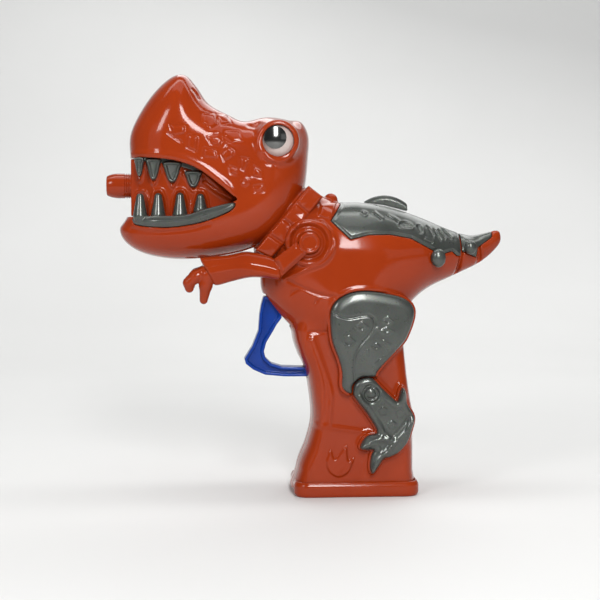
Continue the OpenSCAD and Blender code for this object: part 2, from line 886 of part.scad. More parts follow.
module arm_solid() {
    cross_pin(shoulder_pos, -24, -21.8, 4.3, $fn = 20);
    hull() {
        left_plate(17, 23.6)
            polygon([[-24.6, 107.4], [-20.4, 102.6], [-32.8, 93], [-35.2, 100]]);
        left_plate(17, 24)
            polygon([[-24.8, 106], [-21.8, 102.6], [-32.4, 94.4], [-34, 99.6]]);
    }
    bar([-34.5, -20, 96.4], [-45, -18.6, 97.8], 4.1, 5);
    bar([-45, -18.6, 97.8], [-54, -17.2, 96.9], 5, 5);
    bar([-54, -17.2, 96.9], [-62.5, -16, 95.2], 5, 4.8);
    bar([-62.5, -16, 95.2], [-67.5, -15.6, 92], 3.8, 3);
    bar([-67.5, -15.6, 92], [-70.8, -15.4, 88.8], 3, 1.6);
    bar([-61.5, -15.4, 93.5], [-63.4, -14.8, 87.4], 4, 2.8);
    bar([-63.4, -14.8, 87.4], [-64.6, -14.6, 83.2], 2.8, 1.6);
}

module arm_left() {
    color(body_colour)
        difference() {
            arm_solid();
            casing_outside(gap);
            left_reliefs($fn = 16);
        }
}

module arm_right() {
    on_right()
        arm_left();
}

// Skin of the body's left side inside an outline.
module body_skin(outline) {
    intersection() {
        half_space_left();
        left_plate(-1, 40)
            polygon(outline);
        difference() {
            body_form();
            body_form(-trim_t);
        }
    }
}

// Round stud with a rolled edge on the side of the tail, as [x, z, outer face, radius].
back_stud = [33.7, 101.4, 17.6, 3.2];
tail_stud = [48.8, 105.2, 10.4, 2.6];

module stud(place) {
    y = place[2];
    r = place[3];
    hull() {
        cross_pin(place, -y, -y + 1.6, r, $fn = 16);
        cross_pin(place, -y - 0.5, -y, r - 0.5, $fn = 16);
    }
    hull() {
        cross_pin(place, -y - 1, -y, r / 2, $fn = 16);
        cross_pin(place, -y, -y + 1, r / 2, $fn = 16);
    }
}

module back_plate_left() {
    color(silver_colour) {
        body_skin(back_points);
        stud(back_stud);
    }
}

module back_plate_right() {
    on_right()
        back_plate_left();
}

module tail_plate_left() {
    color(silver_colour) {
        body_skin(tail_points);
        stud(tail_stud);
    }
}

module tail_plate_right() {
    on_right()
        tail_plate_left();
}

module thigh_plate_left() {
    color(silver_colour) {
        left_plate(thigh_y, thigh_y + 1.8)
            polygon(smooth(thigh_points, 2));
        left_plate(thigh_y + 1.8, thigh_y + 3)
            offset(delta = -1.4)
                polygon(smooth(thigh_points, 2));
    }
}

module thigh_plate_right() {
    on_right()
        thigh_plate_left();
}

module shin_left() {
    color(silver_colour) {
        left_plate(shin_y, shin_y + 2)
            polygon(smooth(shin_points, 2));
        cross_pin([5.2, 44.1], -shin_y - 3.2, -shin_y - 2, 3);
    }
}

module shin_right() {
    on_right()
        shin_left();
}

module dorsal_crest() {
    color(silver_colour)
        intersection() {
            left_plate(-5, 5)
                polygon([[3.6, 124.3], [13, 123.1], [22.7, 120.6], [22.7, 130], [3.6, 130]]);
            union() {
                cross_pin([13, 112], -3.2, 3.2, 14.6);
                for (y = [-3.2, -1.2, 0.8, 2.4])
                    cross_pin([13, 112], y, y + 0.8, 15.4);
            }
        }
}

module shell_screws() {
    color(steel_colour)
        for (place = screw_places)
            difference() {
                union() {
                    cross_pin(place, screw_tip_y(place), screw_seat_y(place) + eps, 0.94);
                    cross_pin(place, screw_seat_y(place) + 0.01, screw_seat_y(place) + 1.6, 2.8);
                }
                for (turn = [0, 90])
                    translate([place[0], screw_seat_y(place) + 1.6, place[1]])
                        rotate([0, turn, 0])
                            cube([3.4, 1.4, 0.7], center = true);
            }
}

shell_left();
shell_right();
mouth_block();
nozzle();
air_duct();
fan_housing();
fan_cover();
impeller();
motor_shaft();
motor_can();
motor_end_cap();
battery_box();
battery_front();
battery_rear();
battery_terminals();
base_ring();
battery_door();
door_contact();
door_screw();
trigger();
trigger_guide();
trigger_spring();
switch_case();
switch_plunger();
wire_battery_switch();
wire_switch_motor();
wire_battery_motor();
eye_left();
eye_right();
iris_left();
iris_right();
upper_teeth_left();
upper_teeth_right();
lower_teeth_left();
lower_teeth_right();
arm_left();
arm_right();
back_plate_left();
back_plate_right();
tail_plate_left();
tail_plate_right();
thigh_plate_left();
thigh_plate_right();
shin_left();
shin_right();
dorsal_crest();
shell_screws();
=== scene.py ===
"""Looks of the dinosaur bubble machine, in the CAD frame: -X is the snout, Z = 0 the base.

Outer pieces are sculpted as distance fields on a grid in millimetres and turned into meshes;
sealed inner pieces are the CAD nodes with finishes on them.
"""
import math

import bpy
import numpy as np
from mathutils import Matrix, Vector


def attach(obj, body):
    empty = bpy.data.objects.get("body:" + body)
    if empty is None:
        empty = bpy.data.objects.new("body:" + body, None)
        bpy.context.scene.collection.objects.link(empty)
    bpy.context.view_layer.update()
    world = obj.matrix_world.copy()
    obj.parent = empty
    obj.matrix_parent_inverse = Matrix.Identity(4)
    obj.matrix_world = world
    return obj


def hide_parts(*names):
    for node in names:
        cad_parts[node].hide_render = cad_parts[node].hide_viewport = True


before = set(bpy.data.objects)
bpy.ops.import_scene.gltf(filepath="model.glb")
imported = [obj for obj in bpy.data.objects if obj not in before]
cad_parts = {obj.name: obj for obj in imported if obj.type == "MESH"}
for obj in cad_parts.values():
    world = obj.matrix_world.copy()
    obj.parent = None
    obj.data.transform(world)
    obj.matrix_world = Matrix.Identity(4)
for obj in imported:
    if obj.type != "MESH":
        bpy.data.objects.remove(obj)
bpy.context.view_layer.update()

MM = 0.001
CASING_STEP = 0.4
TRIM_STEP = 0.3
MAX_TRIANGLES = 190000
SEGMENTS = 96
AXIS_R = 0.001

# ---------------------------------------------------------------- sizes shared with the part
WALL = 2.0
GAP = 0.15
NOZZLE_R = 5.25
NOZZLE_BORE_R = 3.9
NOZZLE_Z = 131.0
NOZZLE_TIP_X = -105.0
NOZZLE_BACK_X = -60.5
EYE = (-33.6, 148.7)
EYE_R = 6.3
EYE_SEAT_Y = 16.6
EYE_TOP_Y = 23.1
EYELID_R = 8.6
EYELID_Y = 22.3
DOME_H = 2.6
IRIS_R = 4.6
IRIS_SHIFT = (-1.3, 1.2)
SHOULDER = (-20.9, 107.0)
SHOULDER_R = 9.9
SHOULDER_Y = 20.7
STRAP_Y = 18.0
FAN = (8.0, 97.0)
TRIGGER_W = 9.0
SCREWS = [(-76, 163), (-80, 108.5), (-53, 148), (-31, 89), (-15, 66.5), (28.5, 94), (47, 104)]
SCREW_SEAT_Y = [11, 11, 11, 11, 11, 12, 5]
SCREW_HEAD_R = 2.8
SCREW_HOLE_R = 1.5
PILOT_HOLE_R = 1.1
BOSS_R = 4.2
SEAM = 0.03
TEETH_BACK_Y = 11.7
KNOB = (-10.0, 125.2)
BACK_STUD = (33.7, 100.6)
TAIL_STUD = (48.8, 105.0)
THIGH_Y = 19.4
SHIN_Y = 17.4
TRIM_T = 1.3

HEAD = [(-95, 141), (-95, 152), (-90.5, 162), (-84, 171), (-77, 176.8), (-71.5, 177.2),
        (-67, 172.5), (-62, 165.5), (-54, 161), (-47, 158.2), (-38, 160), (-29, 158.8),
        (-23, 158), (-19.8, 152), (-20, 143), (-21.5, 130), (-26, 119.5), (-33, 111),
        (-43, 105), (-57, 101.5), (-74, 100), (-88, 102), (-96.5, 106.5), (-99.7, 112.5),
        (-96.5, 118.5), (-95, 130)]
BODY = [(-43, 104), (-40.5, 96), (-39.8, 87), (-36, 80.3), (-27, 70.5), (-14, 62),
        (6, 60), (18, 66), (23, 79), (31, 87), (44, 93.3), (55.5, 99), (63, 106),
        (63.8, 110.6), (62, 112.4), (57, 111.2), (50, 110.2), (41, 112.7), (28, 118),
        (14, 122.5), (2, 124.2), (-8, 124.6), (-19, 129.5), (-29, 133), (-40, 122)]
GRIP = [(-26, 74), (-26.6, 67), (-24.5, 60), (-21.5, 53.5), (-19.6, 44), (-18.6, 32.2),
        (-20.8, 22), (-25, 10), (-25, -8), (25, -8), (25, 10), (24.6, 32), (22.6, 48),
        (20.6, 65), (19, 80), (0, 90), (-18, 86)]
MOUTH = [(-112, 117.4), (-96, 117.8), (-84, 117.9), (-72, 118.3), (-63, 120.8),
         (-51, 124.2), (-53, 127), (-59.5, 132.4), (-66.2, 137.2), (-74, 140.3), (-84, 141.8),
         (-96, 142.4), (-112, 142.6)]
LIP = [(-97.2, 118), (-86, 118), (-72, 118.4), (-63, 121), (-52, 123.4),
       (-53.3, 120), (-63, 116), (-72, 114), (-81, 113.3), (-92, 114.4)]
THIGH = [(-11.6, 79.5), (-6.5, 85), (1, 87), (11, 86), (19.5, 83.5), (23, 78),
         (20, 68), (15.6, 62.3), (10.8, 57), (7.8, 53.2), (6.6, 51.2), (1.3, 50.9), (-2.3, 48),
         (-2.8, 44.4), (-5.4, 44.9), (-7.2, 47.5), (-7.2, 53.4), (-8.4, 58.6), (-11.4, 67.4)]
SHIN = [(-2.2, 44), (-1.75, 48), (1.25, 50.45), (5.6, 50.6), (9.2, 47), (13.8, 42.6),
        (16.3, 40.9), (17.7, 45.6), (18.8, 46.5), (19.9, 44), (20.3, 39.8), (23.4, 34),
        (22.5, 28.4), (20.6, 23.4), (17, 19.2), (13.4, 17.3), (10.8, 16.4), (8.6, 13.4),
        (6, 10.3), (4.9, 13), (5.5, 18), (6.6, 20.4), (3.4, 20.3), (0.8, 21.2), (1.6, 23.8),
        (4, 26.4), (7.9, 28), (4.3, 34.6), (-0.2, 40.6)]
BACK = [(-6.6, 132), (-6.6, 123), (-11.5, 116), (-3.6, 108.3), (4, 110.2), (13, 110.4),
        (22, 108.8), (30, 104.6), (35, 102), (40.5, 103.4), (42.8, 101.5), (44.75, 101.5),
        (44.75, 120), (24, 132)]
TAIL = [(45.35, 103.4), (52.2, 100.8), (52.9, 105), (59.4, 109.4), (60.4, 116), (45.35, 118)]
COLLAR = [(-20.8, 130.6), (-14.8, 126), (-36.2, 100.4), (-43, 103.8)]
HEAD_PLAN = [(-104, 10), (-97, 15), (-84, 18), (-60, 20.5), (-38, 22), (-24, 21), (-17, 18)]
SIDES = ((-1, "left"), (1, "right"))
BODY_PLAN = [(-48, 15), (-38, 17.5), (-24, 20.3), (-10, 21), (14, 21), (30, 17.5),
             (46, 11), (58, 6), (66, 4)]


# ---------------------------------------------------------------- curves and flat distances
def rounded(points, n=6):
    """Closed Catmull-Rom curve through the points, n steps apart."""
    p = np.array(points, float)
    a, b, c, d = np.roll(p, 1, 0), p, np.roll(p, -1, 0), np.roll(p, -2, 0)
    steps = [0.5 * (2 * b + (c - a) * t + (2 * a - 5 * b + 4 * c - d) * t * t
                    + (3 * b - a - 3 * c + d) * t ** 3) for t in np.arange(n) / n]
    return np.stack(steps, 1).reshape(-1, 2)


def flowing(points, n=6):
    """Open curve through the points, n steps apart."""
    p = np.array(points, float)
    p = np.vstack([2 * p[0] - p[1], p, 2 * p[-1] - p[-2]])
    a, b, c, d = p[:-3], p[1:-2], p[2:-1], p[3:]
    steps = [0.5 * (2 * b + (c - a) * t + (2 * a - 5 * b + 4 * c - d) * t * t
                    + (3 * b - a - 3 * c + d) * t ** 3) for t in np.arange(n) / n]
    return np.vstack([np.stack(steps, 1).reshape(-1, 2), p[-2]])


def stroke_distance(points, x, z):
    """Distance from each (x, z) to a line through the points."""
    near = np.full(np.broadcast(x, z).shape, 1e9)
    for (ax, az), (bx, bz) in zip(points[:-1], points[1:]):
        ex, ez = bx - ax, bz - az
        t = np.clip(((x - ax) * ex + (z - az) * ez) / (ex * ex + ez * ez + 1e-12), 0, 1)
        near = np.minimum(near, (x - ax - t * ex) ** 2 + (z - az - t * ez) ** 2)
    return np.sqrt(near)


def outline_distance(points, x, z):
    """Distance from each (x, z) to a closed outline, negative inside."""
    p = np.asarray(points, float)
    inside = np.zeros(np.broadcast(x, z).shape, bool)
    for (ax, az), (bx, bz) in zip(p, np.roll(p, -1, 0)):
        if az != bz:
            inside ^= ((az > z) != (bz > z)) & (x < ax + (z - az) * (bx - ax) / (bz - az))
    return np.where(inside, -1, 1) * stroke_distance(np.vstack([p, p[:1]]), x, z)


def step_up(value, low, high):
    t = np.clip((value - low) / (high - low), 0, 1)
    return t * t * (3 - 2 * t)


def soft_min(a, b, k):
    h = np.clip(0.5 + 0.5 * (b - a) / k, 0, 1)
    return b + (a - b) * h - k * h * (1 - h)


def soft_max(a, b, k):
    return -soft_min(-a, -b, k)


# ---------------------------------------------------------------- grids, fields and meshes
class Grid:
    """Sample places in mm. Y counts outwards from the seam; a left piece is mirrored later."""

    def __init__(self, low, high, step):
        self.low, self.step = np.array(low, float), step
        counts = np.ceil((np.array(high, float) - self.low) / step).astype(int) + 1
        axes = [self.low[i] + step * np.arange(counts[i]) for i in range(3)]
        self.x, self.y, self.z = np.meshgrid(*[a.astype(np.float32) for a in axes],
                                             indexing="ij", sparse=True)
        self.relief = np.zeros((counts[0], 1, counts[2]), np.float32)

    def near(self, points, margin):
        """Window of the relief round the points, with its x and z."""
        p = np.asarray(points, float)
        low, high = p.min(0) - margin, p.max(0) + margin
        i = np.searchsorted(self.x[:, 0, 0], [low[0], high[0]])
        k = np.searchsorted(self.z[0, 0, :], [low[1], high[1]])
        window = (slice(*i), slice(None), slice(*k))
        return window, self.x[window[0]], self.z[:, :, window[2]]

    def plate(self, points, height, ramp=0.7):
        """Raises (or sinks) the inside of an outline, with a ramp along its edge."""
        window, x, z = self.near(points, ramp + 0.5)
        d = outline_distance(points, x, z)
        self.relief[window] += height * step_up(-d, 0, ramp)

    def border(self, points, height, width, closed=True):
        """Raises (or sinks) a soft line along the points."""
        p = np.vstack([points, points[:1]]) if closed else np.asarray(points, float)
        window, x, z = self.near(p, 3 * width)
        self.relief[window] += height * np.exp(-(stroke_distance(p, x, z) / width) ** 2)

    def line(self, points, height, width):
        """Raises (or sinks) a soft line along an open curve."""
        self.border(flowing(points), height, width, closed=False)

    def ring(self, centre, radius, height, width):
        """Raises (or sinks) a soft circle."""
        window, x, z = self.near([centre], radius + 3 * width)
        rho = np.hypot(x - centre[0], z - centre[1])
        self.relief[window] += height * np.exp(-((rho - radius) / width) ** 2)


def pin(grid, centre, radius):
    """Round bar straight across the toy."""
    return np.hypot(grid.x - centre[0], grid.z - centre[1]) - radius


def box_field(grid, low, high, k=0.0):
    """Box from its low to its high corner, with edges rounded by about k."""
    d = [np.maximum(low[i] - a, a - high[i]) for i, a in enumerate((grid.x, grid.y, grid.z))]
    if not k:
        return np.maximum(np.maximum(d[0], d[1]), d[2])
    return soft_max(soft_max(d[0], d[1], k), d[2], k)


def sample(field, grid, points):
    """Values of the field at free points, between its samples."""
    q = (points - grid.low) / grid.step
    i = np.clip(np.floor(q).astype(int), 0, np.array(field.shape) - 2)
    f = q - i
    total = np.zeros(len(points))
    for corner in range(8):
        c = np.array([corner & 1, corner >> 1 & 1, corner >> 2])
        weight = np.prod(np.where(c, f, 1 - f), axis=1)
        total += weight * field[tuple((i + c).T)]
    return total


def surface_net(field, grid):
    """Vertices and quads of the zero level; the field is negative inside the piece."""
    inside = field < 0
    cells = np.array(field.shape) - 1
    places, owners, faces = [], [], []
    for axis in range(3):
        low = [slice(None)] * 3
        high = [slice(None)] * 3
        low[axis], high[axis] = slice(None, -1), slice(1, None)
        at = np.argwhere(inside[tuple(low)] != inside[tuple(high)])
        b, c = (axis + 1) % 3, (axis + 2) % 3
        keep = (at[:, b] > 0) & (at[:, c] > 0) & (at[:, b] < cells[b]) & (at[:, c] < cells[c])
        at = at[keep]
        f0, f1 = field[tuple(low)][tuple(at.T)], field[tuple(high)][tuple(at.T)]
        point = at.astype(float)
        point[:, axis] += f0 / (f0 - f1)
        ids = []
        for db, dc in ((0, 0), (-1, 0), (-1, -1), (0, -1)):
            cell = at.copy()
            cell[:, b] += db
            cell[:, c] += dc
            ids.append(np.ravel_multi_index(tuple(cell.T), tuple(cells)))
        quad = np.stack(ids, 1)
        outward = f0 < 0
        quad[~outward] = quad[~outward][:, ::-1]
        faces.append(quad)
        owners += ids
        places += [point] * 4
    owners, places = np.concatenate(owners), np.vstack(places)
    faces = np.vstack(faces)
    used, index = np.unique(owners, return_inverse=True)
    count = np.bincount(index)
    vertices = np.stack([np.bincount(index, places[:, i]) / count for i in range(3)], 1)
    lookup = np.searchsorted(used, faces)
    return grid.low + vertices * grid.step, lookup


def slopes(field, grid, points):
    """Outward direction of the field's surface at each point."""
    n = np.stack([sample(field, grid, points + e) - sample(field, grid, points - e)
                  for e in grid.step * np.eye(3)], 1)
    return n / np.maximum(np.linalg.norm(n, axis=1, keepdims=True), 1e-9)


def new_piece(name, vertices, faces, material, body):
    """Smooth mesh from places in mm, riding on its body in place of the CAD node of its name."""
    mesh = bpy.data.meshes.new(name)
    if isinstance(faces, np.ndarray):
        mesh.vertices.add(len(vertices))
        mesh.vertices.foreach_set("co", (np.asarray(vertices) * MM).astype(np.float32).ravel())
        sides = faces.shape[1]
        mesh.loops.add(faces.size)
        mesh.loops.foreach_set("vertex_index", faces.astype(np.int32).ravel())
        mesh.polygons.add(len(faces))
        mesh.polygons.foreach_set("loop_start", np.arange(0, faces.size, sides, dtype=np.int32))
        mesh.update(calc_edges=True)
        mesh.validate()
    else:
        mesh.from_pydata([tuple(np.array(v) * MM) for v in vertices], [], faces)
    mesh.polygons.foreach_set("use_smooth", [True] * len(mesh.polygons))
    mesh.materials.append(material)
    piece = bpy.data.objects.new(name, mesh)
    bpy.context.scene.collection.objects.link(piece)
    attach(piece, body)
    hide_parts(name)
    return piece


def thinned(piece, triangles):
    """Fewer triangles in a piece that has too many."""
    now = sum(len(p.vertices) - 2 for p in piece.data.polygons)
    if now <= triangles:
        return
    modifier = piece.modifiers.new("fewer", "DECIMATE")
    modifier.ratio = triangles / now
    graph = bpy.context.evaluated_depsgraph_get()
    mesh = bpy.data.meshes.new_from_object(piece.evaluated_get(graph))
    piece.modifiers.clear()
    piece.data = mesh


def sculpted(name, field, grid, side, material, body="casing"):
    """Makes a piece of a field. Side -1 is the left of the toy, 1 the right, 0 both at once."""
    vertices, faces = surface_net(field, grid)
    flip = -1 if side < 0 else 1
    if flip < 0:
        faces = faces[:, ::-1]
    piece = new_piece(name, vertices * (1, flip, 1), faces, material, body)
    thinned(piece, MAX_TRIANGLES)
    mesh = piece.data
    mesh.name = name
    co = np.empty(len(mesh.vertices) * 3, np.float32)
    mesh.vertices.foreach_get("co", co)
    points = co.reshape(-1, 3).astype(float) / MM * (1, flip, 1)
    normals = slopes(field, grid, points) * (1, flip, 1)
    mesh.polygons.foreach_set("use_smooth", [True] * len(mesh.polygons))
    mesh.normals_split_custom_set_from_vertices(normals.astype(np.float32).tolist())
    mesh.update()
    return piece


def turned(name, profile, axis, origin, material, hole=False):
    """Turned piece: profile is (distance along the axis, radius), a loop if it has a hole."""
    along = Vector(axis).normalized()
    u = along.orthogonal().normalized()
    v = along.cross(u)
    turns = np.linspace(0, 2 * math.pi, SEGMENTS, endpoint=False)
    points = [tuple(Vector(origin) + along * s
                    + (u * math.cos(a) + v * math.sin(a)) * max(r, AXIS_R))
              for s, r in profile for a in turns]
    rows = len(profile)
    faces = [(i * SEGMENTS + k, i * SEGMENTS + (k + 1) % SEGMENTS,
              (i + 1) % rows * SEGMENTS + (k + 1) % SEGMENTS, (i + 1) % rows * SEGMENTS + k)
             for i in range(rows if hole else rows - 1) for k in range(SEGMENTS)]
    if not hole:
        faces.append(tuple(range(SEGMENTS - 1, -1, -1)))
        faces.append(tuple((rows - 1) * SEGMENTS + k for k in range(SEGMENTS)))
    piece = new_piece(name, points, faces, material, "casing")
    piece.data.validate()
    piece.data.set_sharp_from_angle(angle=math.radians(35 if hole else 40))
    return piece


# ---------------------------------------------------------------- finishes
GRAIN_SCALE = 900
GRAIN_DEPTH = 0.0002
FLAKE_SCALE = 5000


def finish(name, colour, deeper, rough, metallic=0.0, coat=0.0, scale=60, grain=0.02, flake=0.0):
    """Procedural finish: colour drifts towards deeper in soft clouds, gloss varies a little."""
    m = bpy.data.materials.new(name)
    m.use_nodes = True
    tree = m.node_tree
    nodes, links = tree.nodes, tree.links
    shader = nodes["Principled BSDF"]
    where = nodes.new("ShaderNodeTexCoord")
    clouds = nodes.new("ShaderNodeTexNoise")
    clouds.inputs["Scale"].default_value = scale
    clouds.inputs["Detail"].default_value = 4
    links.new(where.outputs["Object"], clouds.inputs["Vector"])
    ramp = nodes.new("ShaderNodeValToRGB")
    for element, place, tint in zip(ramp.color_ramp.elements, (0.25, 0.75), (deeper, colour)):
        element.position = place
        element.color = (*tint, 1)
    links.new(clouds.outputs["Fac"], ramp.inputs["Fac"])
    base = ramp.outputs["Color"]
    if flake:
        cells = nodes.new("ShaderNodeTexVoronoi")
        cells.inputs["Scale"].default_value = FLAKE_SCALE
        links.new(where.outputs["Object"], cells.inputs["Vector"])
        mix = nodes.new("ShaderNodeMix")
        mix.data_type = "RGBA"
        mix.blend_type = "OVERLAY"
        mix.inputs["Factor"].default_value = flake
        links.new(base, mix.inputs[6])
        links.new(cells.outputs["Color"], mix.inputs[7])
        base = mix.outputs[2]
    links.new(base, shader.inputs["Base Color"])
    gloss = nodes.new("ShaderNodeMapRange")
    gloss.inputs["To Min"].default_value = rough * 0.85
    gloss.inputs["To Max"].default_value = rough * 1.2
    smudge = nodes.new("ShaderNodeTexNoise")
    smudge.inputs["Scale"].default_value = scale * 2.3
    smudge.inputs["Detail"].default_value = 3
    links.new(where.outputs["Object"], smudge.inputs["Vector"])
    links.new(smudge.outputs["Fac"], gloss.inputs["Value"])
    links.new(gloss.outputs["Result"], shader.inputs["Roughness"])
    fine = nodes.new("ShaderNodeTexNoise")
    fine.inputs["Scale"].default_value = GRAIN_SCALE
    links.new(where.outputs["Object"], fine.inputs["Vector"])
    bump = nodes.new("ShaderNodeBump")
    bump.inputs["Strength"].default_value = grain
    bump.inputs["Distance"].default_value = GRAIN_DEPTH
    links.new(fine.outputs["Fac"], bump.inputs["Height"])
    links.new(bump.outputs["Normal"], shader.inputs["Normal"])
    shader.inputs["Metallic"].default_value = metallic
    shader.inputs["Coat Weight"].default_value = coat
    shader.inputs["Coat Roughness"].default_value = 0.06
    shader.inputs["Specular IOR Level"].default_value = 0.19
    return m


for old in list(bpy.data.materials):
    bpy.data.materials.remove(old)
ORANGE = finish("body_plastic", (0.32, 0.034, 0.004), (0.275, 0.027, 0.003), 0.13, coat=0.22,
                scale=45)
SILVER = finish("silver_plastic", (0.10, 0.108, 0.099), (0.078, 0.085, 0.077), 0.28,
                metallic=0.6, coat=0.35, scale=120, flake=0.18)
BLUE = finish("trigger_plastic", (0.001, 0.042, 0.30), (0.001, 0.030, 0.23), 0.28, coat=0.2)
EYE_WHITE = finish("eye_plastic", (0.58, 0.48, 0.45), (0.50, 0.41, 0.38), 0.2, coat=0.4)
IRIS = finish("iris_mirror", (0.17, 0.17, 0.165), (0.05, 0.05, 0.05), 0.12, metallic=1.0,
              coat=0.6, scale=150)
NATURAL = finish("natural_plastic", (0.68, 0.67, 0.62), (0.6, 0.59, 0.54), 0.4)
BLACK = finish("black_plastic", (0.022, 0.022, 0.024), (0.014, 0.014, 0.016), 0.42)
PLUNGER = finish("plunger_plastic", (0.6, 0.06, 0.03), (0.5, 0.045, 0.02), 0.4)
SLEEVE = finish("cell_sleeve", (0.02, 0.12, 0.05), (0.015, 0.09, 0.035), 0.3, coat=0.3)
BRASS = finish("brass", (0.72, 0.5, 0.2), (0.6, 0.4, 0.15), 0.28, metallic=1.0, scale=200)
STEEL = finish("steel", (0.56, 0.56, 0.57), (0.44, 0.44, 0.46), 0.3, metallic=1.0, scale=250)
WIRE_RED = finish("wire_red", (0.5, 0.02, 0.015), (0.4, 0.015, 0.01), 0.35)
WIRE_BLACK = finish("wire_black", (0.015, 0.015, 0.015), (0.01, 0.01, 0.01), 0.35)
FLOOR = finish("floor", (0.74, 0.74, 0.73), (0.70, 0.70, 0.69), 0.65, scale=3, grain=0.0)


# ---------------------------------------------------------------- the casing's shape
def super_round(grid, distance, half, edge, power):
    """Field of a slab with that half width, rounded towards its side outline."""
    t = np.maximum(1 + distance / edge, 0)
    v = np.abs(grid.y) / half
    level = (t ** power + v ** power) ** (1 / power)
    level = np.maximum(level, 1e-3)
    slope = np.hypot((t / level) ** (power - 1) / edge, (v / level) ** (power - 1) / half)
    return ((level - 1) / np.maximum(slope, 0.02)).astype(np.float32)


def widths(pairs, x, smooth=4.0):
    """Half width at each x, from (x, half width) pairs, with the corners smoothed."""
    xs, ws = np.array(pairs, float).T
    total = sum(np.interp(x + d, xs, ws) for d in np.linspace(-smooth, smooth, 9))
    return total / 9


def blurred(flat, cells):
    """Smooths a flat field over a few cells, once each way."""
    kernel = np.exp(-0.5 * (np.arange(-2 * cells, 2 * cells + 1) / cells) ** 2)
    kernel /= kernel.sum()
    out = flat
    for axis in (0, 2):
        pad = [(0, 0)] * 3
        pad[axis] = (2 * cells, 2 * cells)
        wide = np.pad(out, pad, mode="edge")
        out = sum(w * np.take(wide, range(i, i + out.shape[axis]), axis=axis)
                  for i, w in enumerate(kernel))
    return out


def eased(distance, grid, reach):
    """The distance with its inner ridges smoothed, exact at the outline."""
    cells = max(1, int(round(reach / grid.step)))
    weight = step_up(-distance, 0.5, 2.5 * reach)
    return distance * (1 - weight) + blurred(distance, cells) * weight


def head_field(grid):
    d = eased(outline_distance(rounded(HEAD), grid.x, grid.z), grid, 2.5)
    half = widths(HEAD_PLAN, grid.x)
    # the snout narrows towards its top, the cheek swells behind the mouth, the brow stands out
    half = half * (1 - 0.10 * step_up(grid.z, 150, 178) * step_up(-grid.x, 50, 70))
    cheek = np.exp(-(((grid.x + 44) / 17) ** 2 + ((grid.z - 128) / 15) ** 2))
    brow = np.exp(-(((grid.x - EYE[0]) / 13) ** 2 + ((grid.z - EYE[1]) / 12) ** 2))
    dip = np.exp(-(((grid.x + 58) / 10) ** 2 + ((grid.z - 158) / 9) ** 2))
    half = half + 0.5 * cheek + 0.3 * brow - 1.0 * dip
    return super_round(grid, d, half, 17.0, 2.4)


def body_field(grid):
    d = eased(outline_distance(rounded(BODY), grid.x, grid.z), grid, 2.0)
    edge = 23.0 - 6.0 * step_up(grid.x, 13, 28)
    return super_round(grid, d, widths(BODY_PLAN, grid.x, 9.0), edge, 2.1)


def grip_field(grid):
    d = outline_distance(rounded(GRIP), grid.x, grid.z)
    field = super_round(grid, d, 15.3 + 0 * grid.x, 6.0, 2.6)
    return np.maximum(field, 2.6 - grid.z)


def collar_plates(grid):
    """Strap of four bevelled plates behind the jaw, from the nape down to the shoulder."""
    left = [(-20.4, 130.8), (-26.2, 123.6), (-32, 117.4), (-37.9, 110.9), (-43.6, 103.8)]
    right = [(-14.8, 126), (-20.6, 118.6), (-26, 112.6), (-31.2, 106.4), (-36.2, 100.2)]
    for i in range(4):
        corners = [left[i], right[i], right[i + 1], left[i + 1]]
        window, x, z = grid.near(corners, 1.5)
        d = outline_distance(corners, x, z)
        grid.relief[window] += 0.8 * step_up(-d, 0, 1.1)


HEAD_SCALES = [
    [(-64.8, 160), (-59.4, 160.6), (-58.2, 155.3), (-61.3, 153.5), (-64.8, 156.4)],
    [(-58.4, 160.2), (-54.2, 160.3), (-52.5, 156.4), (-57, 155.4)],
    [(-55.4, 152.9), (-49.5, 152.9), (-48.1, 148.8), (-51.9, 148.2), (-55.4, 150.5)],
    [(-62.5, 150.4), (-58.2, 151.5), (-56.2, 149), (-57, 146.8), (-60.8, 147.2)],
    [(-77.8, 155.3), (-71.2, 154.7), (-71.6, 151.5), (-76.4, 150.6)],
    [(-70.1, 151.1), (-66, 150.5), (-67.2, 144.1), (-70.7, 145.8)],
    [(-63.7, 145.8), (-59, 144.6), (-57.8, 141.1), (-64.3, 141.7)],
    [(-54.2, 146.4), (-51.3, 144.6), (-52.5, 141.7), (-55.4, 140.2), (-56.9, 142.9)],
    [(-48.9, 141.7), (-45.4, 141.1), (-47.2, 136.4), (-48.9, 137)],
    [(-53.6, 138.2), (-50.1, 137), (-50.1, 134.6), (-53.1, 135.2)],
    [(-43.6, 138.2), (-40.7, 136.4), (-40.1, 133.4), (-44.2, 134)],
    [(-43.6, 129.9), (-40.1, 130.5), (-39.2, 128.1), (-43, 127.6)]]


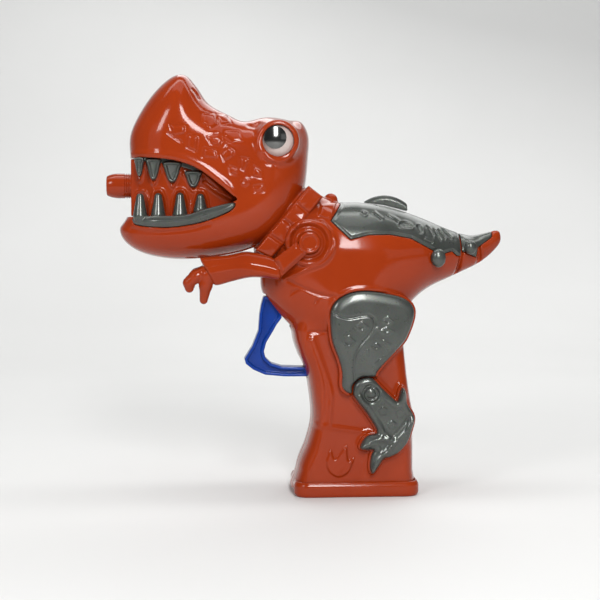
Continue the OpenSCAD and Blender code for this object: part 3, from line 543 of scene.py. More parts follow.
def casing_details(grid):
    """Scales, creases, rims, rings and other relief on the sides of the casing."""
    for scale in HEAD_SCALES:
        grid.plate(scale, 0.2, 0.8)
        grid.border(scale, -0.26, 0.42)
    grid.ring((-47.3, 131.9), 1.3, 0.3, 0.5)
    grid.border([(-78.4, 151.7), (-73.1, 148.2)], -0.4, 0.55, closed=False)
    grid.line([(-68.6, 170.5), (-67, 168.8), (-65.9, 166.6)], -0.6, 0.5)
    grid.line([(-45.4, 155.3), (-43.2, 154.7), (-41.3, 155.8)], -0.8, 0.9)
    grid.line([(-40, 143.2), (-38.3, 139.9), (-35, 138.9)], -0.5, 0.8)
    # raised eyelid, thickest above and behind the eye
    window, x, z = grid.near([EYE], 14)
    rho = np.hypot(x - EYE[0], z - EYE[1])
    angle = np.arctan2(z - EYE[1], x - EYE[0])
    lid = 0.75 + 0.25 * np.cos(angle - 0.7)
    grid.relief[window] += 2.0 * lid * np.exp(-((rho - 8.2) / 1.75) ** 2)
    # thickened rim of both lips, and the groove under the silver lip
    mouth = outline_distance(rounded(MOUTH), grid.x, grid.z)
    inside_head = step_up(-grid.x, 50, 56)
    grid.relief += (0.55 * np.exp(-((mouth - 1.6) / 1.4) ** 2) * inside_head).astype(np.float32)
    grid.line([(-94, 112.6), (-86, 111.4), (-79, 111.4), (-70, 112.4), (-62, 114.6)], -0.5, 0.9)
    collar_plates(grid)
    # trapezoid plate behind the collar, and the rings of the shoulder disc
    grid.plate([(-15.4, 123.3), (-7.4, 124.8), (-11.3, 116.1), (-17.3, 118)], 0.8, 1.2)
    for radius, height, width in ((8.5, 0.9, 0.75), (6.7, -0.7, 0.6), (5.2, 0.3, 0.6)):
        grid.ring(SHOULDER, radius, height, width)
    grid.line([(-15.4, 115.6), (-11.4, 111.2), (-10.4, 105.5), (-14.2, 99.2), (-20.8, 96.4),
               (-27.2, 93.8), (-31, 91.6)], 0.8, 0.8)
    grid.line([(-29.6, 91.5), (-24.1, 88.6), (-15.4, 85.2), (-8.2, 84.6)], -0.7, 0.75)
    grid.plate([(-29.8, 83.4), (-28.4, 87.4), (-25.6, 88.8), (-23.4, 87.6)], -0.7, 1.2)
    grid.plate([(-19.7, 80), (-18.4, 84), (-15.6, 84.8), (-16.8, 82)], -0.7, 1.1)
    # rims round the leg
    leg = np.minimum(outline_distance(rounded(THIGH), grid.x, grid.z),
                     outline_distance(rounded(SHIN), grid.x, grid.z))
    grid.relief += (0.4 * np.exp(-((leg - 1.1) / 0.8) ** 2)).astype(np.float32)
    # segments of the tail
    for line in ([(45.05, 114), (45.05, 106), (45, 102.3), (44.4, 97), (43.4, 91)],
                 [(50.4, 111.5), (53, 105.5), (53.9, 101), (53.5, 96)]):
        grid.line(line, -1.7, 0.8)
    # grip: two ridges down the front corner, a soft step at the foot, a band along the back
    grid.line([(-20.3, 66), (-15.3, 49.9), (-14.9, 40), (-15.5, 31.6)], 0.6, 0.9)
    grid.line([(-18.8, 66.4), (-11.7, 46), (-11.5, 38), (-12, 30.8)], 0.6, 0.9)
    grid.border([(-20, 69.8), (-13, 69.6)], -0.5, 0.7, closed=False)
    grid.line([(-17, 30.4), (-5, 28.6), (6, 27.2)], 0.3, 1.0)
    grid.line([(19.6, 66), (20.6, 52), (23.4, 36)], 0.3, 0.8)
    foot = rounded([(-7.9, 8.2), (-12, 10.4), (-13.5, 14.6), (-12.6, 17.8), (-11.6, 20.6),
                    (-10.4, 18.2), (-9.7, 16.6), (-8.2, 17.6), (-6.4, 20.2), (-4.5, 22.4),
                    (-4.2, 19.2), (-3.9, 15.9), (-2.6, 16), (-1.1, 17.2), (-1.9, 14.2),
                    (-3.8, 10.2)], 3)
    grid.plate(foot, 0.9, 0.8)


# openings for the trigger's blade, its lower strut and the battery door
SLOT_Y = TRIGGER_W / 2 + 0.4
OPENINGS = [((-44, -5, 71.5), (-24, SLOT_Y, 85.2)), ((-27, -5, 49.3), (-17.5, SLOT_Y, 54.5)),
            ((-20.4, -12, -2), (20.4, 10, 5))]


def build_casing():
    grid = Grid((-106, -1.6, 0.4), (67, 25.2, 180), CASING_STEP)
    x, y, z = grid.x, grid.y, grid.z
    head, body, grip = head_field(grid), body_field(grid), grip_field(grid)
    casing_details(grid)
    outer = soft_min(body, grip, 2.0)
    outer = np.minimum(outer, head)
    smooth_outer = outer.copy()
    thin = step_up(x, 32, 40)
    show = step_up(y, 4 - 3.6 * thin, 8 - 5.6 * thin)
    outer -= grid.relief * show
    # raised parts: collar, shoulder disc, knob, and the pads behind the leg pieces
    strap = soft_max(outline_distance(COLLAR, x, z), np.abs(y) - STRAP_Y - grid.relief, 0.8)
    outer = soft_min(outer, np.maximum(strap, 8 - y), 0.5)
    disc = soft_max(pin(grid, SHOULDER, SHOULDER_R), y - SHOULDER_Y - grid.relief, 0.9)
    outer = soft_min(outer, np.maximum(disc, 12 - y), 0.5)
    lid = soft_max(pin(grid, EYE, EYELID_R), y - EYELID_Y, 1.6)
    outer = soft_min(outer, np.maximum(lid, 12 - y), 1.2)
    knob = np.sqrt((x - KNOB[0]) ** 2 + y ** 2 + (z - KNOB[1]) ** 2) - 3.0
    outer = soft_min(outer, knob.astype(np.float32), 0.8)
    thigh = outline_distance(rounded(THIGH), x, z)
    shin = outline_distance(rounded(SHIN), x, z)
    between = step_up(np.maximum(thigh, shin), 1.6, 0.9)
    pad = soft_max(thigh - 1.0, y - THIGH_Y + GAP + 1.5 * between, 0.7)
    outer = soft_min(outer, np.maximum(pad, 8 - y), 0.7)
    pad = soft_max(shin - 0.8, y - SHIN_Y + GAP + 1.5 * between, 0.6)
    outer = soft_min(outer, np.maximum(pad, 8 - y), 0.6)
    # hollow, with bosses, the sockets' walls and the skirt round the mouth left standing
    hollow = np.maximum(smooth_outer + WALL, x - 38)
    mouth = outline_distance(rounded(MOUTH), x, z)
    for place in SCREWS:
        hollow = np.maximum(hollow, -pin(grid, place, BOSS_R))
    hollow = np.maximum(hollow, -np.maximum(pin(grid, EYE, 8.5), 15 - y))
    hollow = np.maximum(hollow, -np.maximum(mouth - WALL, 13.2 - y))
    hollow = np.maximum(hollow, -np.maximum(thigh - 1, THIGH_Y - WALL - y))
    hollow = np.maximum(hollow, -np.maximum(shin - 1, SHIN_Y - WALL - y))
    shell = np.maximum(outer, -hollow)
    cuts = [mouth,
            np.maximum(pin(grid, EYE, EYE_R + GAP), 16.4 - y),
            np.maximum(thigh - GAP, THIGH_Y - GAP - y),
            np.maximum(shin - GAP, SHIN_Y - GAP - y),
            np.maximum(outline_distance(rounded(LIP, 4), x, z) - GAP, TEETH_BACK_Y - y)]
    cuts += [box_field(grid, *corners) for corners in OPENINGS]
    under_trim = -(smooth_outer + TRIM_T + GAP)
    for outline in (BACK, TAIL):
        cuts.append(np.maximum(outline_distance(outline, x, z) - GAP, under_trim))
    for place, seat, radius in ((BACK_STUD, 15.2, 3.1), (TAIL_STUD, 8.2, 2.7)):
        cuts.append(np.maximum(pin(grid, place, radius), seat - y))
    for cut in cuts:
        shell = np.maximum(shell, -cut)
    shell = np.maximum(shell, SEAM - y)
    left = shell
    for place in SCREWS:
        left = np.maximum(left, -np.maximum(pin(grid, place, PILOT_HOLE_R), y - 9))
    sculpted("shell_left", left, grid, -1, ORANGE)
    right = shell
    for place, seat in zip(SCREWS, SCREW_SEAT_Y):
        right = np.maximum(right, -pin(grid, place, SCREW_HOLE_R))
        well = np.maximum(pin(grid, place, SCREW_HEAD_R + 0.4), seat - y)
        right = np.maximum(right, -well)
    for k in range(-2, 3):
        slot = box_field(grid, (FAN[0] + 3.6 * k - 0.9, 10, FAN[1] - 7 + abs(k)),
                         (FAN[0] + 3.6 * k + 0.9, 40, FAN[1] + 7 - abs(k)), 0.5)
        right = np.maximum(right, -slot)
    sculpted("shell_right", right, grid, 1, ORANGE)


# ---------------------------------------------------------------- mouth, teeth and nozzle
UPPER_TEETH = [(-90.6, 141.6, 134.2, 3.6), (-84.8, 141.2, 132.8, 5.6), (-77.1, 140, 131.8, 7),
               (-68.4, 136.2, 129.8, 6.6)]
LOWER_TEETH = [(-90.3, 117.8, 127.4, 5.4), (-82.9, 118, 127.6, 5.6), (-73.9, 118.2, 127.8, 5.8),
               (-65.5, 120, 127.4, 5.4)]


def build_mouth():
    grid = Grid((-96.5, -13.5, 111), (-46.5, 13.5, 148), TRIM_STEP)
    x, y, z = grid.x, grid.y, grid.z
    # soft rims of gum round every tooth, and two folds in the corner of the mouth
    for tx, gum, tip, w in UPPER_TEETH:
        grid.line([(tx - w / 2 - 0.9, gum - 0.6), (tx - w / 4 - 0.9, (gum + tip) / 2),
                   (tx, tip - 1.5), (tx + w / 4 + 0.9, (gum + tip) / 2),
                   (tx + w / 2 + 0.9, gum - 0.6)], 0.75, 0.75)
    for tx, gum, tip, w in LOWER_TEETH:
        grid.line([(tx - w / 2 - 0.7, gum), (tx - w / 2 - 0.3, tip - 3.5), (tx - 1.6, tip + 0.6),
                   (tx, tip + 1.2), (tx + 1.6, tip + 0.6), (tx + w / 2 + 0.3, tip - 3.5),
                   (tx + w / 2 + 0.7, gum)], 0.7, 0.7)
    for fold in ([(-65, 136.2), (-60, 131.9), (-55.5, 127.9), (-51.5, 125)],
                 [(-63.5, 132), (-59, 128.6), (-53, 125)]):
        grid.line(fold, 1.2, 1.0)
    side = outline_distance([(-94.6, 118.2), (-94.6, 141.9), (-91.8, 141.9), (-91.8, 146),
                             (-78, 146), (-64, 141), (-48.5, 138.5), (-48.5, 119), (-64, 116),
                             (-91, 113.5), (-91.8, 118.2)], x, z)
    plan = outline_distance([(-94.9, -6), (-91.5, -6.8), (-85, -11.5), (-40, -11.5), (-40, 11.5),
                             (-85, 11.5), (-91.5, 6.8), (-94.9, 6)], x, y)
    field = soft_max(side, plan - grid.relief, 0.5)
    inside = np.maximum(
        outline_distance([(-90, 116), (-90, 144), (-78, 144), (-64, 139), (-40, 137), (-40, 121),
                          (-64, 118)], x, z),
        outline_distance([(-90, -6), (-84.5, -9.5), (-30, -9.5), (-30, 9.5), (-84.5, 9.5),
                          (-90, 6)], x, y))
    tube = np.hypot(y, z - NOZZLE_Z)
    inside = np.maximum(inside, -np.maximum(tube - NOZZLE_R - 1.6, x + 70))
    field = np.maximum(field, -inside)
    field = np.maximum(field, -np.maximum(tube - NOZZLE_R - 0.1, x + 69))
    field = np.maximum(field, -np.maximum(tube - 7.6, -70 - x))
    sculpted("mouth_block", field, grid, 0, ORANGE)


def build_teeth():
    grid = Grid((-93.5, 10.8, 128), (-64, 15.2, 146), TRIM_STEP * 0.8)
    x, y, z = grid.x, grid.y, grid.z
    strip = outline_distance([(-89.5, 141), (-77, 139.5), (-65.5, 136), (-65.5, 139.5),
                              (-77, 143.5), (-89.5, 144.5)], x, z)
    upper = soft_max(strip, y - 13, 0.4)
    for tx, gum, tip, w in UPPER_TEETH:
        third = (gum - tip) / 3
        edge = [(w / 2, gum + 0.3), (w / 2.2, tip + 2 * third), (w / 2.9, tip + third),
                (w / 5, tip + 0.22 * third)]
        d = outline_distance(rounded([(tx - u, v) for u, v in edge] + [(tx, tip)]
                                     + [(tx + u, v) for u, v in edge[::-1]]), x, z)
        rim = min(1.0, w / 5)
        face = 13.2 + 1.1 * step_up(-d, -0.2, 0.55 * rim) - 0.7 * step_up(-d, 0.9 * rim, 1.7 * rim)
        upper = soft_min(upper, soft_max(d, y - face, 0.25), 0.3)
    upper = np.maximum(upper, 11.6 - y)
    low = Grid((-99, 10.8, 112), (-50.5, 24, 130), TRIM_STEP)
    x, y, z = low.x, low.y, low.z
    edge = outline_distance(rounded(LIP, 4), x, z)
    lower = soft_max(edge, head_field(low) - 0.2 - 1.0 * step_up(-edge, 0, 2.4), 0.9)
    for tx, gum, tip, w in LOWER_TEETH:
        peg = tapered(low, (tx, 13.7, gum + 1), w / 2 + 0.15, (tx, 13.3, tip - 1.6), 1.6, -0.1)
        lower = soft_min(lower, peg, 0.6)
    lower = np.maximum(lower, TEETH_BACK_Y - y)
    for side, name in SIDES:
        sculpted(f"upper_teeth_{name}", upper, grid, side, SILVER)
        sculpted(f"lower_teeth_{name}", lower, low, side, SILVER)


def build_nozzle():
    r, tip = NOZZLE_R, NOZZLE_TIP_X
    outside = [(0.0, r - 1.3), (0.12, r - 1.12), (0.5, r - 0.9), (1.3, r - 0.6), (2.4, r - 0.3),
               (3.6, r - 0.08), (4.6, r), (7.4, r)]
    for k in range(3):
        groove = 7.6 + 0.9 * k
        outside += [(groove, r), (groove + 0.15, r - 0.35), (groove + 0.5, r - 0.35),
                    (groove + 0.65, r)]
    outside += [(NOZZLE_BACK_X - tip, r), (NOZZLE_BACK_X - tip, NOZZLE_BORE_R)]
    bore = [(0.3, NOZZLE_BORE_R), (0.0, NOZZLE_BORE_R + 0.05)]
    turned("nozzle", outside + bore, (1, 0, 0), (tip, 0, NOZZLE_Z), ORANGE,
           hole=True)


def build_eyes():
    dome_r = (EYE_R ** 2 + DOME_H ** 2) / (2 * DOME_H)
    centre_y = EYE_TOP_Y - dome_r

    def height(r):
        return centre_y + math.sqrt(dome_r ** 2 - r ** 2)

    pupil = (EYE[0] + IRIS_SHIFT[0], 0, EYE[1] + IRIS_SHIFT[1])
    white = [(EYE_SEAT_Y, 0), (EYE_SEAT_Y, EYE_R)]
    white += [(height(r), r) for r in np.linspace(EYE_R, 0.5, 14)]
    lift = height(math.hypot(*IRIS_SHIFT)) - 0.25
    mirror = [(21.0, 0.0), (21.0, IRIS_R)]
    mirror += [(lift + 0.75 * (1 - (r / IRIS_R) ** 2), r) for r in np.linspace(IRIS_R, 0.3, 12)]
    for side, name in SIDES:
        axis = (0, side, 0)
        turned(f"eye_{name}", white, axis, (EYE[0], 0, EYE[1]), EYE_WHITE)
        turned(f"iris_{name}", mirror, axis, pupil, IRIS)


# ---------------------------------------------------------------- arms
UPPER_ARM = [(-26.4, 107.2), (-21.3, 102.9), (-32.2, 93.2), (-35.4, 100.3)]
FOREARM = [(-34.8, 100.2), (-45.8, 103.2), (-54.2, 101.9), (-64.6, 100.9), (-65.6, 100),
           (-64.2, 96.9), (-62.2, 93.2), (-60.6, 90.4), (-58.6, 89.4), (-52.6, 91), (-45.5, 92.6),
           (-39, 92.6), (-32.4, 92.4)]
CLAWS = [[((-62.6, 15.6, 95.2), 2.8), ((-67.6, 15.6, 93), 2.7), ((-70.4, 15.6, 90.4), 2.3),
          ((-70.2, 15.2, 88.2), 1.9)],
         [((-62.8, 16.4, 93.6), 3.0), ((-63.4, 15.9, 89.4), 2.7), ((-64.3, 15, 83.2), 1.7)]]


def tapered(grid, p, rp, q, rq, start=0.0):
    """Round bar from p to q, with radius rp at p and rq at q."""
    p = np.array(p)
    d = np.array(q) - p
    px, py, pz = grid.x - p[0], grid.y - p[1], grid.z - p[2]
    t = np.clip((px * d[0] + py * d[1] + pz * d[2]) / (d @ d), start, 1)
    away = np.sqrt((px - t * d[0]) ** 2 + (py - t * d[1]) ** 2 + (pz - t * d[2]) ** 2)
    return away - (rp * (1 - t) + rq * t)


def limb(grid, joints):
    """Chain of tapered bars through ((x, y, z), radius) places."""
    total = tapered(grid, *joints[0], *joints[1])
    for start, end in zip(joints[1:-1], joints[2:]):
        total = soft_min(total, tapered(grid, *start, *end), 1.0)
    return total


def build_arms():
    grid = Grid((-75, 10.5, 80.5), (-14.5, 24.6, 112.5), TRIM_STEP)
    x, y, z = grid.x, grid.y, grid.z
    hub = soft_max(pin(grid, SHOULDER, 4.4), y - 24, 0.6)
    hub = np.maximum(hub, 21.2 - y)
    rho = np.hypot(x - SHOULDER[0], z - SHOULDER[1])
    hub = soft_max(hub, y - 24 + 0.45 * step_up(3.4 - rho, 0, 0.6), 0.2)
    d = outline_distance(UPPER_ARM, x, z)
    block = soft_max(d, y - 22.6 - 1.4 * step_up(-d, -0.2, 1.9), 0.35)
    block = np.maximum(block, 16.5 - y)
    ridge = stroke_distance(flowing([(-66, 94.6), (-62, 95.5), (-50, 97.4), (-40, 96.2),
                                     (-32.5, 94.2)]), x, z)
    cuff = stroke_distance([(-64.8, 99.6), (-60.4, 91)], x, z)
    d = eased(outline_distance(rounded(FOREARM, 5), x, z), grid, 0.8)
    middle = np.interp(x, [-66, -54, -45, -34], [15.8, 17, 18.4, 19.6])
    thick = np.interp(x, [-66, -58, -45, -34], [3.9, 4.7, 5.1, 4.1])
    thick = thick - np.clip(0.5 * (ridge - 1.3), 0, 2) + 0.35 * np.exp(-(cuff / 0.9) ** 2)
    t = np.maximum(1 + d / 1.6, 0)
    level = np.maximum((t ** 2.2 + (np.abs(y - middle) / thick) ** 2.2) ** (1 / 2.2), 1e-3)
    beam = (level - 1) * 1.6
    arm = soft_min(block, beam, 0.35)
    arm = soft_min(arm, hub, 0.3)
    hand = soft_min(limb(grid, CLAWS[0]), limb(grid, CLAWS[1]), 0.6)
    arm = soft_min(arm, hand, 0.25)
    # the casing stands inside the arm's back face
    casing = np.minimum(np.minimum(head_field(grid), body_field(grid)),
                        soft_max(pin(grid, SHOULDER, SHOULDER_R), y - 21.7, 0.4))
    collar = np.maximum(outline_distance(COLLAR, x, z), y - 19.2)
    arm = np.maximum(arm, -(np.minimum(casing, collar) - GAP))
    for side, name in SIDES:
        sculpted(f"arm_{name}", arm, grid, side, ORANGE)


# ---------------------------------------------------------------- silver plates and crest
def stud(grid, place, top, radius, tall):
    """Oval dome that stands out of a plate."""
    r = np.sqrt(((grid.x - place[0]) / radius) ** 2 + ((grid.z - place[1]) / tall) ** 2
                + ((grid.y - top + 2.3) / 2.3) ** 2)
    ball = (r - 1) * radius
    return np.maximum(ball, top - 3.4 - grid.y)


BACK_SCALES = [[(17, 115.2), (19.5, 116.1), (22.8, 114.8), (22.8, 112.8), (17.9, 113.2)],
               [(24.5, 114.4), (27, 114.4), (27.8, 111.1), (25.8, 110.7)],
               [(1.2, 119.6), (2.6, 120.2), (4.2, 119.4), (2.8, 118.2)]]
BACK_MARKS = [[(6.7, 119.4), (9.6, 117.1)], [(12.5, 118.2), (14.6, 117.4), (16.6, 116.1)],
              [(29.9, 113.6), (32, 109.8)], [(32.8, 112.3), (35.3, 108.2)],
              [(37, 112.8), (40.3, 109)], [(35.2, 112.2), (37.4, 108.8)],
              [(27.6, 108.4), (31, 107)]]


def skin(grid, outline):
    """Plate of the body's skin inside an outline, with a stepped, bevelled edge."""
    d = outline_distance(outline, grid.x, grid.z)
    body = body_field(grid)
    raised = 0.35 * step_up(-d, 0.8, 1.5) + grid.relief
    show = step_up(grid.y, 3, 6)
    outer = soft_max(d, body - raised * show, 0.6)
    return np.maximum(outer, -(body + TRIM_T))


def build_skins():
    grid = Grid((-13, -1, 95.6), (45, 23.6, 127), TRIM_STEP)
    for scale in BACK_SCALES:
        grid.plate(rounded(scale, 3), -0.4, 0.7)
        grid.border(rounded(scale, 3), 0.25, 0.45)
    for mark in BACK_MARKS:
        grid.line(mark, -0.5, 0.5)
        grid.border([(x + 0.9, z + 0.3) for x, z in mark], 0.35, 0.5, closed=False)
    field = soft_min(skin(grid, BACK), stud(grid, BACK_STUD, 18.9, 3.1, 3.9), 0.3)
    field = np.maximum(field, SEAM - grid.y)
    tail = Grid((43, -1, 98), (65.5, 16, 117), TRIM_STEP)
    tail_field = soft_min(skin(tail, TAIL), stud(tail, TAIL_STUD, 11.8, 2.7, 3.0), 0.3)
    tail_field = np.maximum(tail_field, SEAM - tail.y)
    for side, name in SIDES:
        sculpted(f"back_plate_{name}", field, grid, side, SILVER)
        sculpted(f"tail_plate_{name}", tail_field, tail, side, SILVER)


def diamond(x, z, w, h):
    return [(x - w, z), (x, z + h), (x + w, z), (x, z - h)]


def pentagon(x, z, r):
    return [(x + r * math.cos(a), z + r * math.sin(a))
            for a in np.linspace(0.4, 0.4 + 2 * math.pi, 5, endpoint=False)]


def fallen_rim(d, width, drop):
    """How far a plate's face falls towards its edge, as a quarter round."""
    t = np.clip(1 + d / width, 0, 1)
    return drop * (1 - np.sqrt(1 - t * t))


def build_legs():
    grid = Grid((-12.6, 18.8, 43.4), (24.4, 23.4, 88), TRIM_STEP)
    # thigh: a crease, raised diamonds and short marks
    grid.line([(-11.4, 78.3), (-8, 76.6), (-4.1, 75.8), (0.4, 76.6), (4.2, 76.7), (6.1, 74.6),
               (5.4, 71.1), (3.2, 68), (0.7, 65.2), (-1.7, 60.5), (-2.3, 55.8), (-2, 50.2)],
              -0.5, 0.42)
    for x, z, w, h in ((-4.5, 66.1, 2.4, 2.1), (0.9, 72.3, 2.2, 1.8), (11.7, 74.6, 1.9, 1.6),
                       (6.9, 63.9, 1.5, 1.2), (11.2, 70.6, 2.3, 1.2)):
        grid.border(diamond(x, z, w, h), 0.3, 0.36)
    for mark in ([(9.9, 66.4), (12.6, 65)], [(7.7, 57.3), (10.1, 59.9)],
                 [(6.6, 56.6), (8.4, 58.6)], [(4.6, 69.2), (6.8, 71.6), (8.2, 71.2)],
                 [(3.6, 60.4), (3.4, 62.8)]):
        grid.line(mark, 0.25, 0.4)
    d = outline_distance(rounded(THIGH), grid.x, grid.z)
    rim = 2.4 + 3.0 * step_up(grid.z, 72, 84)
    top = 22.4 - 1.4 * step_up(66 - grid.z, 0, 16) - fallen_rim(d, rim, 2.0) + grid.relief
    thigh = soft_max(soft_max(d, grid.y - top, 0.3), THIGH_Y - grid.y, 0.1)
    low = Grid((-3.4, 16.8, 9.4), (24.6, 23.6, 52), TRIM_STEP)
    x, z = low.x, low.z
    for px, pz in ((10.1, 36.9), (17.3, 35.7), (13.9, 31)):
        low.plate(pentagon(px, pz, 2.3), 0.35, 0.5)
    # knee: a groove, a ring and a domed pin
    low.ring((5.2, 44.1), 3.5, -0.5, 0.5)
    low.ring((5.2, 44.1), 2.7, 0.5, 0.5)
    dome = np.clip(1 - ((x - 4.9) ** 2 + (z - 44.6) ** 2) / 4.4, 0, 1)
    low.relief += (1.3 * np.sqrt(dome)).astype(np.float32)
    # cuff at the ankle, and the roots of the toes and the spur
    for line, height, width in (
            ([(23.4, 33.2), (19.8, 28.2), (15.4, 23.4), (13.2, 21.6)], 0.8, 1.0),
            ([(21.6, 34.8), (17.6, 29.6), (13.4, 25.2)], -0.45, 0.6),
            ([(13.4, 24.6), (8.5, 24.8), (1.2, 21.4)], 1.0, 1.5),
            ([(12.6, 20.8), (8.9, 17), (6.1, 11.4)], 1.0, 1.3),
            ([(18, 41.2), (18.8, 45.4)], 0.9, 0.9),
            ([(-0.2, 43), (4.6, 36.4), (9.2, 29.6), (12.6, 26)], 0.35, 0.8)):
        low.line(line, height, width)
    d = outline_distance(rounded(SHIN), x, z)
    top = 19.9 + 1.5 * step_up(z, 32, 42) - fallen_rim(d, 2.1, 1.5) + low.relief
    top = top - 0.3 * step_up(-d, 2.4, 3.2)
    shin = soft_max(soft_max(d, low.y - top, 0.3), SHIN_Y - low.y, 0.1)
    for side, name in SIDES:
        sculpted(f"thigh_plate_{name}", thigh, grid, side, SILVER)
        sculpted(f"shin_{name}", shin, low, side, SILVER)


def build_crest():
    grid = Grid((2.6, -4.4, 119.6), (23.8, 4.4, 128.6), TRIM_STEP * 0.8)
    x, y, z = grid.x, grid.y, grid.z
    rho = np.hypot(x - 13, z - 112)
    half = 1.6 + 1.8 * (x - 3.6) / 19.1
    across = np.clip(y / half, -1, 1)
    ribs = 0.45 * np.cos(across * 3.5 * math.pi)
    field = soft_max(rho - 14.9 - ribs + 0.9 * across ** 2, np.abs(y) - half, 0.5)
    base = outline_distance([(3.6, 124.3), (13, 123.1), (22.7, 120.6), (22.7, 130),
                             (3.6, 130)], x, z)
    sculpted("dorsal_crest", soft_max(field, base, 0.4), grid, 0, SILVER)


# ---------------------------------------------------------------- base ring and trigger
def round_rect(grid, a, b, r):
    """Upright block with half sizes a and b and corner radius r."""
    qx, qy = np.abs(grid.x) - a + r, np.abs(grid.y) - b + r
    return np.hypot(np.maximum(qx, 0), np.maximum(qy, 0)) + np.minimum(np.maximum(qx, qy), 0) - r


def build_base():
    grid = Grid((-27.6, -18.2, -1), (27.6, 18.2, 7.4), TRIM_STEP)
    z = grid.z
    flange = soft_max(round_rect(grid, 26.6, 17.2, 6), np.abs(z - 3.0) - 3.0, 1.8)
    collar = soft_max(round_rect(grid, 25.9, 16.5, 5.4), np.abs(z - 3.2) - 3.1, 0.5)
    ring = soft_min(flange, collar, 0.5)
    ring = np.maximum(ring, -np.maximum(round_rect(grid, 25.2, 15.5, 4.8), 2.5 - z))
    ring = np.maximum(ring, -box_field(grid, (-19.8, -9.5, -3), (19.8, 9.5, 4)))
    ring = np.maximum(ring, 0.004 - z)
    sculpted("base_ring", ring, grid, 0, ORANGE)


TRIGGER = [(-39, 84.2), (-40, 80.6), (-40.7, 76.6), (-41.2, 69.6), (-43.8, 63), (-47.2, 57.5),
           (-46.6, 55.4), (-43.4, 52.9), (-38.4, 50.7), (-30, 49.9), (-20.2, 49.9), (-20.2, 53.8),
           (-31.2, 54.2), (-35.7, 55.6), (-38.2, 58), (-38.9, 60.6), (-37.9, 64.5), (-35, 69.3),
           (-33.4, 72.2), (-31.3, 75), (-31.3, 84.2)]


def build_trigger():
    grid = Grid((-48.4, -5.2, 48.8), (-19, 5.2, 85), TRIM_STEP)
    x, y, z = grid.x, grid.y, grid.z
    d = outline_distance(TRIGGER, x, z)
    blade = soft_max(d, np.abs(y) - TRIGGER_W / 2, 0.5)
    pocket = soft_max(d + 1.25, 2.2 - np.abs(y), 0.4)
    blade = np.maximum(blade, -pocket)
    rail = box_field(grid, (-31.6, -3.5, 76.2), (-20, 3.5, 82.4), 0.2)
    ramp = outline_distance([(-31, 83.4), (-31, 81.53), (-19, 79.93), (-19, 83.4)], x, z)
    rail = np.maximum(rail, -np.maximum(ramp, np.abs(y) - 1.6))
    sculpted("trigger", np.minimum(blade, rail), grid, 0, BLUE,
             "trigger_unit")


for build in (build_casing, build_mouth, build_teeth, build_nozzle, build_eyes, build_arms,
              build_skins, build_legs, build_crest, build_base, build_trigger):
    build()

# ---------------------------------------------------------------- finishes on the CAD nodes
CAD_FINISHES = {
    "battery_terminals": BRASS, "motor_shaft": STEEL, "motor_can": STEEL,
    "motor_end_cap": NATURAL, "air_duct": NATURAL, "fan_housing": BLACK, "fan_cover": BLACK,
    "impeller": NATURAL, "battery_box": BLACK, "battery_front": SLEEVE, "battery_rear": SLEEVE,
    "door_contact": STEEL, "door_screw": STEEL, "trigger_guide": NATURAL,
    "trigger_spring": STEEL, "switch_case": BLACK, "switch_plunger": PLUNGER,
    "wire_battery_switch": WIRE_RED, "wire_switch_motor": WIRE_RED,
    "wire_battery_motor": WIRE_BLACK, "shell_screws": STEEL,
    "battery_door": ORANGE}
for node, material in CAD_FINISHES.items():
    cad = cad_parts[node]
    cad.data.materials.clear()
    cad.data.materials.append(material)

# ---------------------------------------------------------------- floor, light and camera
CENTRE = Vector((-0.0232, 0.0, 0.0824))
floor_mesh = bpy.data.meshes.new("floor")
rows = [(-3, 0), (0.5, 0)] + [(0.5 + 0.9 * math.sin(a), 0.9 - 0.9 * math.cos(a))
                              for a in np.linspace(0.1, math.pi / 2, 12)] + [(1.4, 4)]
floor_mesh.from_pydata([(x, y, z) for y, z in rows for x in (-5, 5)], [],
                       [(2 * i, 2 * i + 1, 2 * i + 3, 2 * i + 2) for i in range(len(rows) - 1)])
floor_mesh.polygons.foreach_set("use_smooth", [True] * len(floor_mesh.polygons))
floor_mesh.materials.append(FLOOR)
floor = bpy.data.objects.new("floor", floor_mesh)
bpy.context.scene.collection.objects.link(floor)


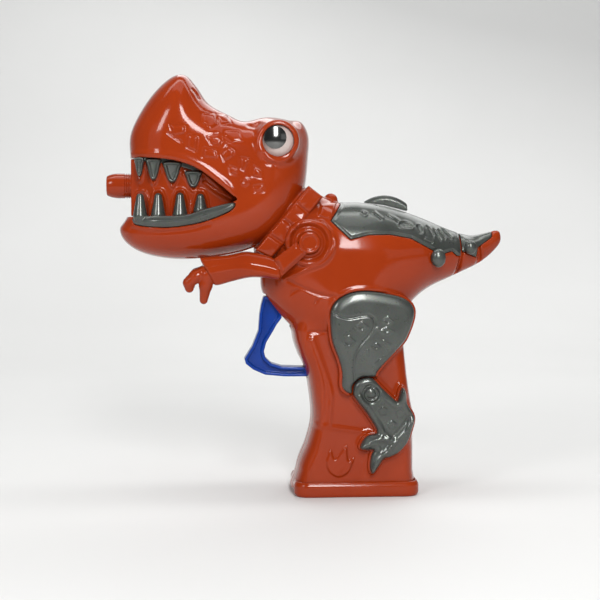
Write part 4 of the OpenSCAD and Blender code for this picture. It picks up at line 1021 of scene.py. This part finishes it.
def softbox(name, place, size, power, colour=(1, 1, 1), aim=CENTRE):
    lamp = bpy.data.lights.new(name, "AREA")
    lamp.shape, lamp.size, lamp.size_y = "RECTANGLE", size[0], size[1]
    lamp.energy, lamp.color = power, colour
    holder = bpy.data.objects.new(name, lamp)
    holder.location = place
    holder.rotation_euler = (Vector(aim) - Vector(place)).to_track_quat("-Z", "Y").to_euler()
    bpy.context.scene.collection.objects.link(holder)


softbox("key", (0.03, -0.76, 0.48), (0.14, 0.42), 5.0)
softbox("left_strip", (-0.62, -0.62, 0.55), (0.16, 0.26), 1.9)
softbox("top", (-0.1, -0.15, 1.1), (0.9, 0.6), 2.2)
softbox("fill", (-1.2, -1.0, 0.5), (1.0, 0.8), 1.0, (0.95, 0.97, 1))
softbox("low_fill", (0.9, -1.3, 0.35), (0.8, 0.5), 0.6)
softbox("back", (0.3, 0.8, 0.9), (1.2, 0.6), 5)
softbox("backdrop", (0, 0.1, 1.5), (2.5, 0.5), 15.5, aim=(0, 1.4, 0.5))
world = bpy.data.worlds.new("studio")
world.use_nodes = True
world.node_tree.nodes["Background"].inputs["Color"].default_value = (0.86, 0.88, 0.90, 1)
world.node_tree.nodes["Background"].inputs["Strength"].default_value = 0.16
bpy.context.scene.world = world
bpy.context.scene.view_settings.view_transform = "Standard"

AZIMUTH, ELEVATION, DISTANCE = math.radians(-4), math.radians(2.8), 0.517
camera_data = bpy.data.cameras.new("camera")
camera_data.sensor_fit = "HORIZONTAL"
camera_data.lens = camera_data.sensor_width / 2 / math.tan(math.radians(14))
camera = bpy.data.objects.new("camera", camera_data)
bpy.context.scene.collection.objects.link(camera)
back = Vector((math.sin(AZIMUTH) * math.cos(ELEVATION), -math.cos(AZIMUTH) * math.cos(ELEVATION),
               math.sin(ELEVATION)))
camera.location = CENTRE + back * DISTANCE
camera.rotation_mode = "QUATERNION"
camera.rotation_quaternion = (-back).to_track_quat("-Z", "Y")
camera_data.clip_start, camera_data.clip_end = 0.01, 50
bpy.context.scene.camera = camera
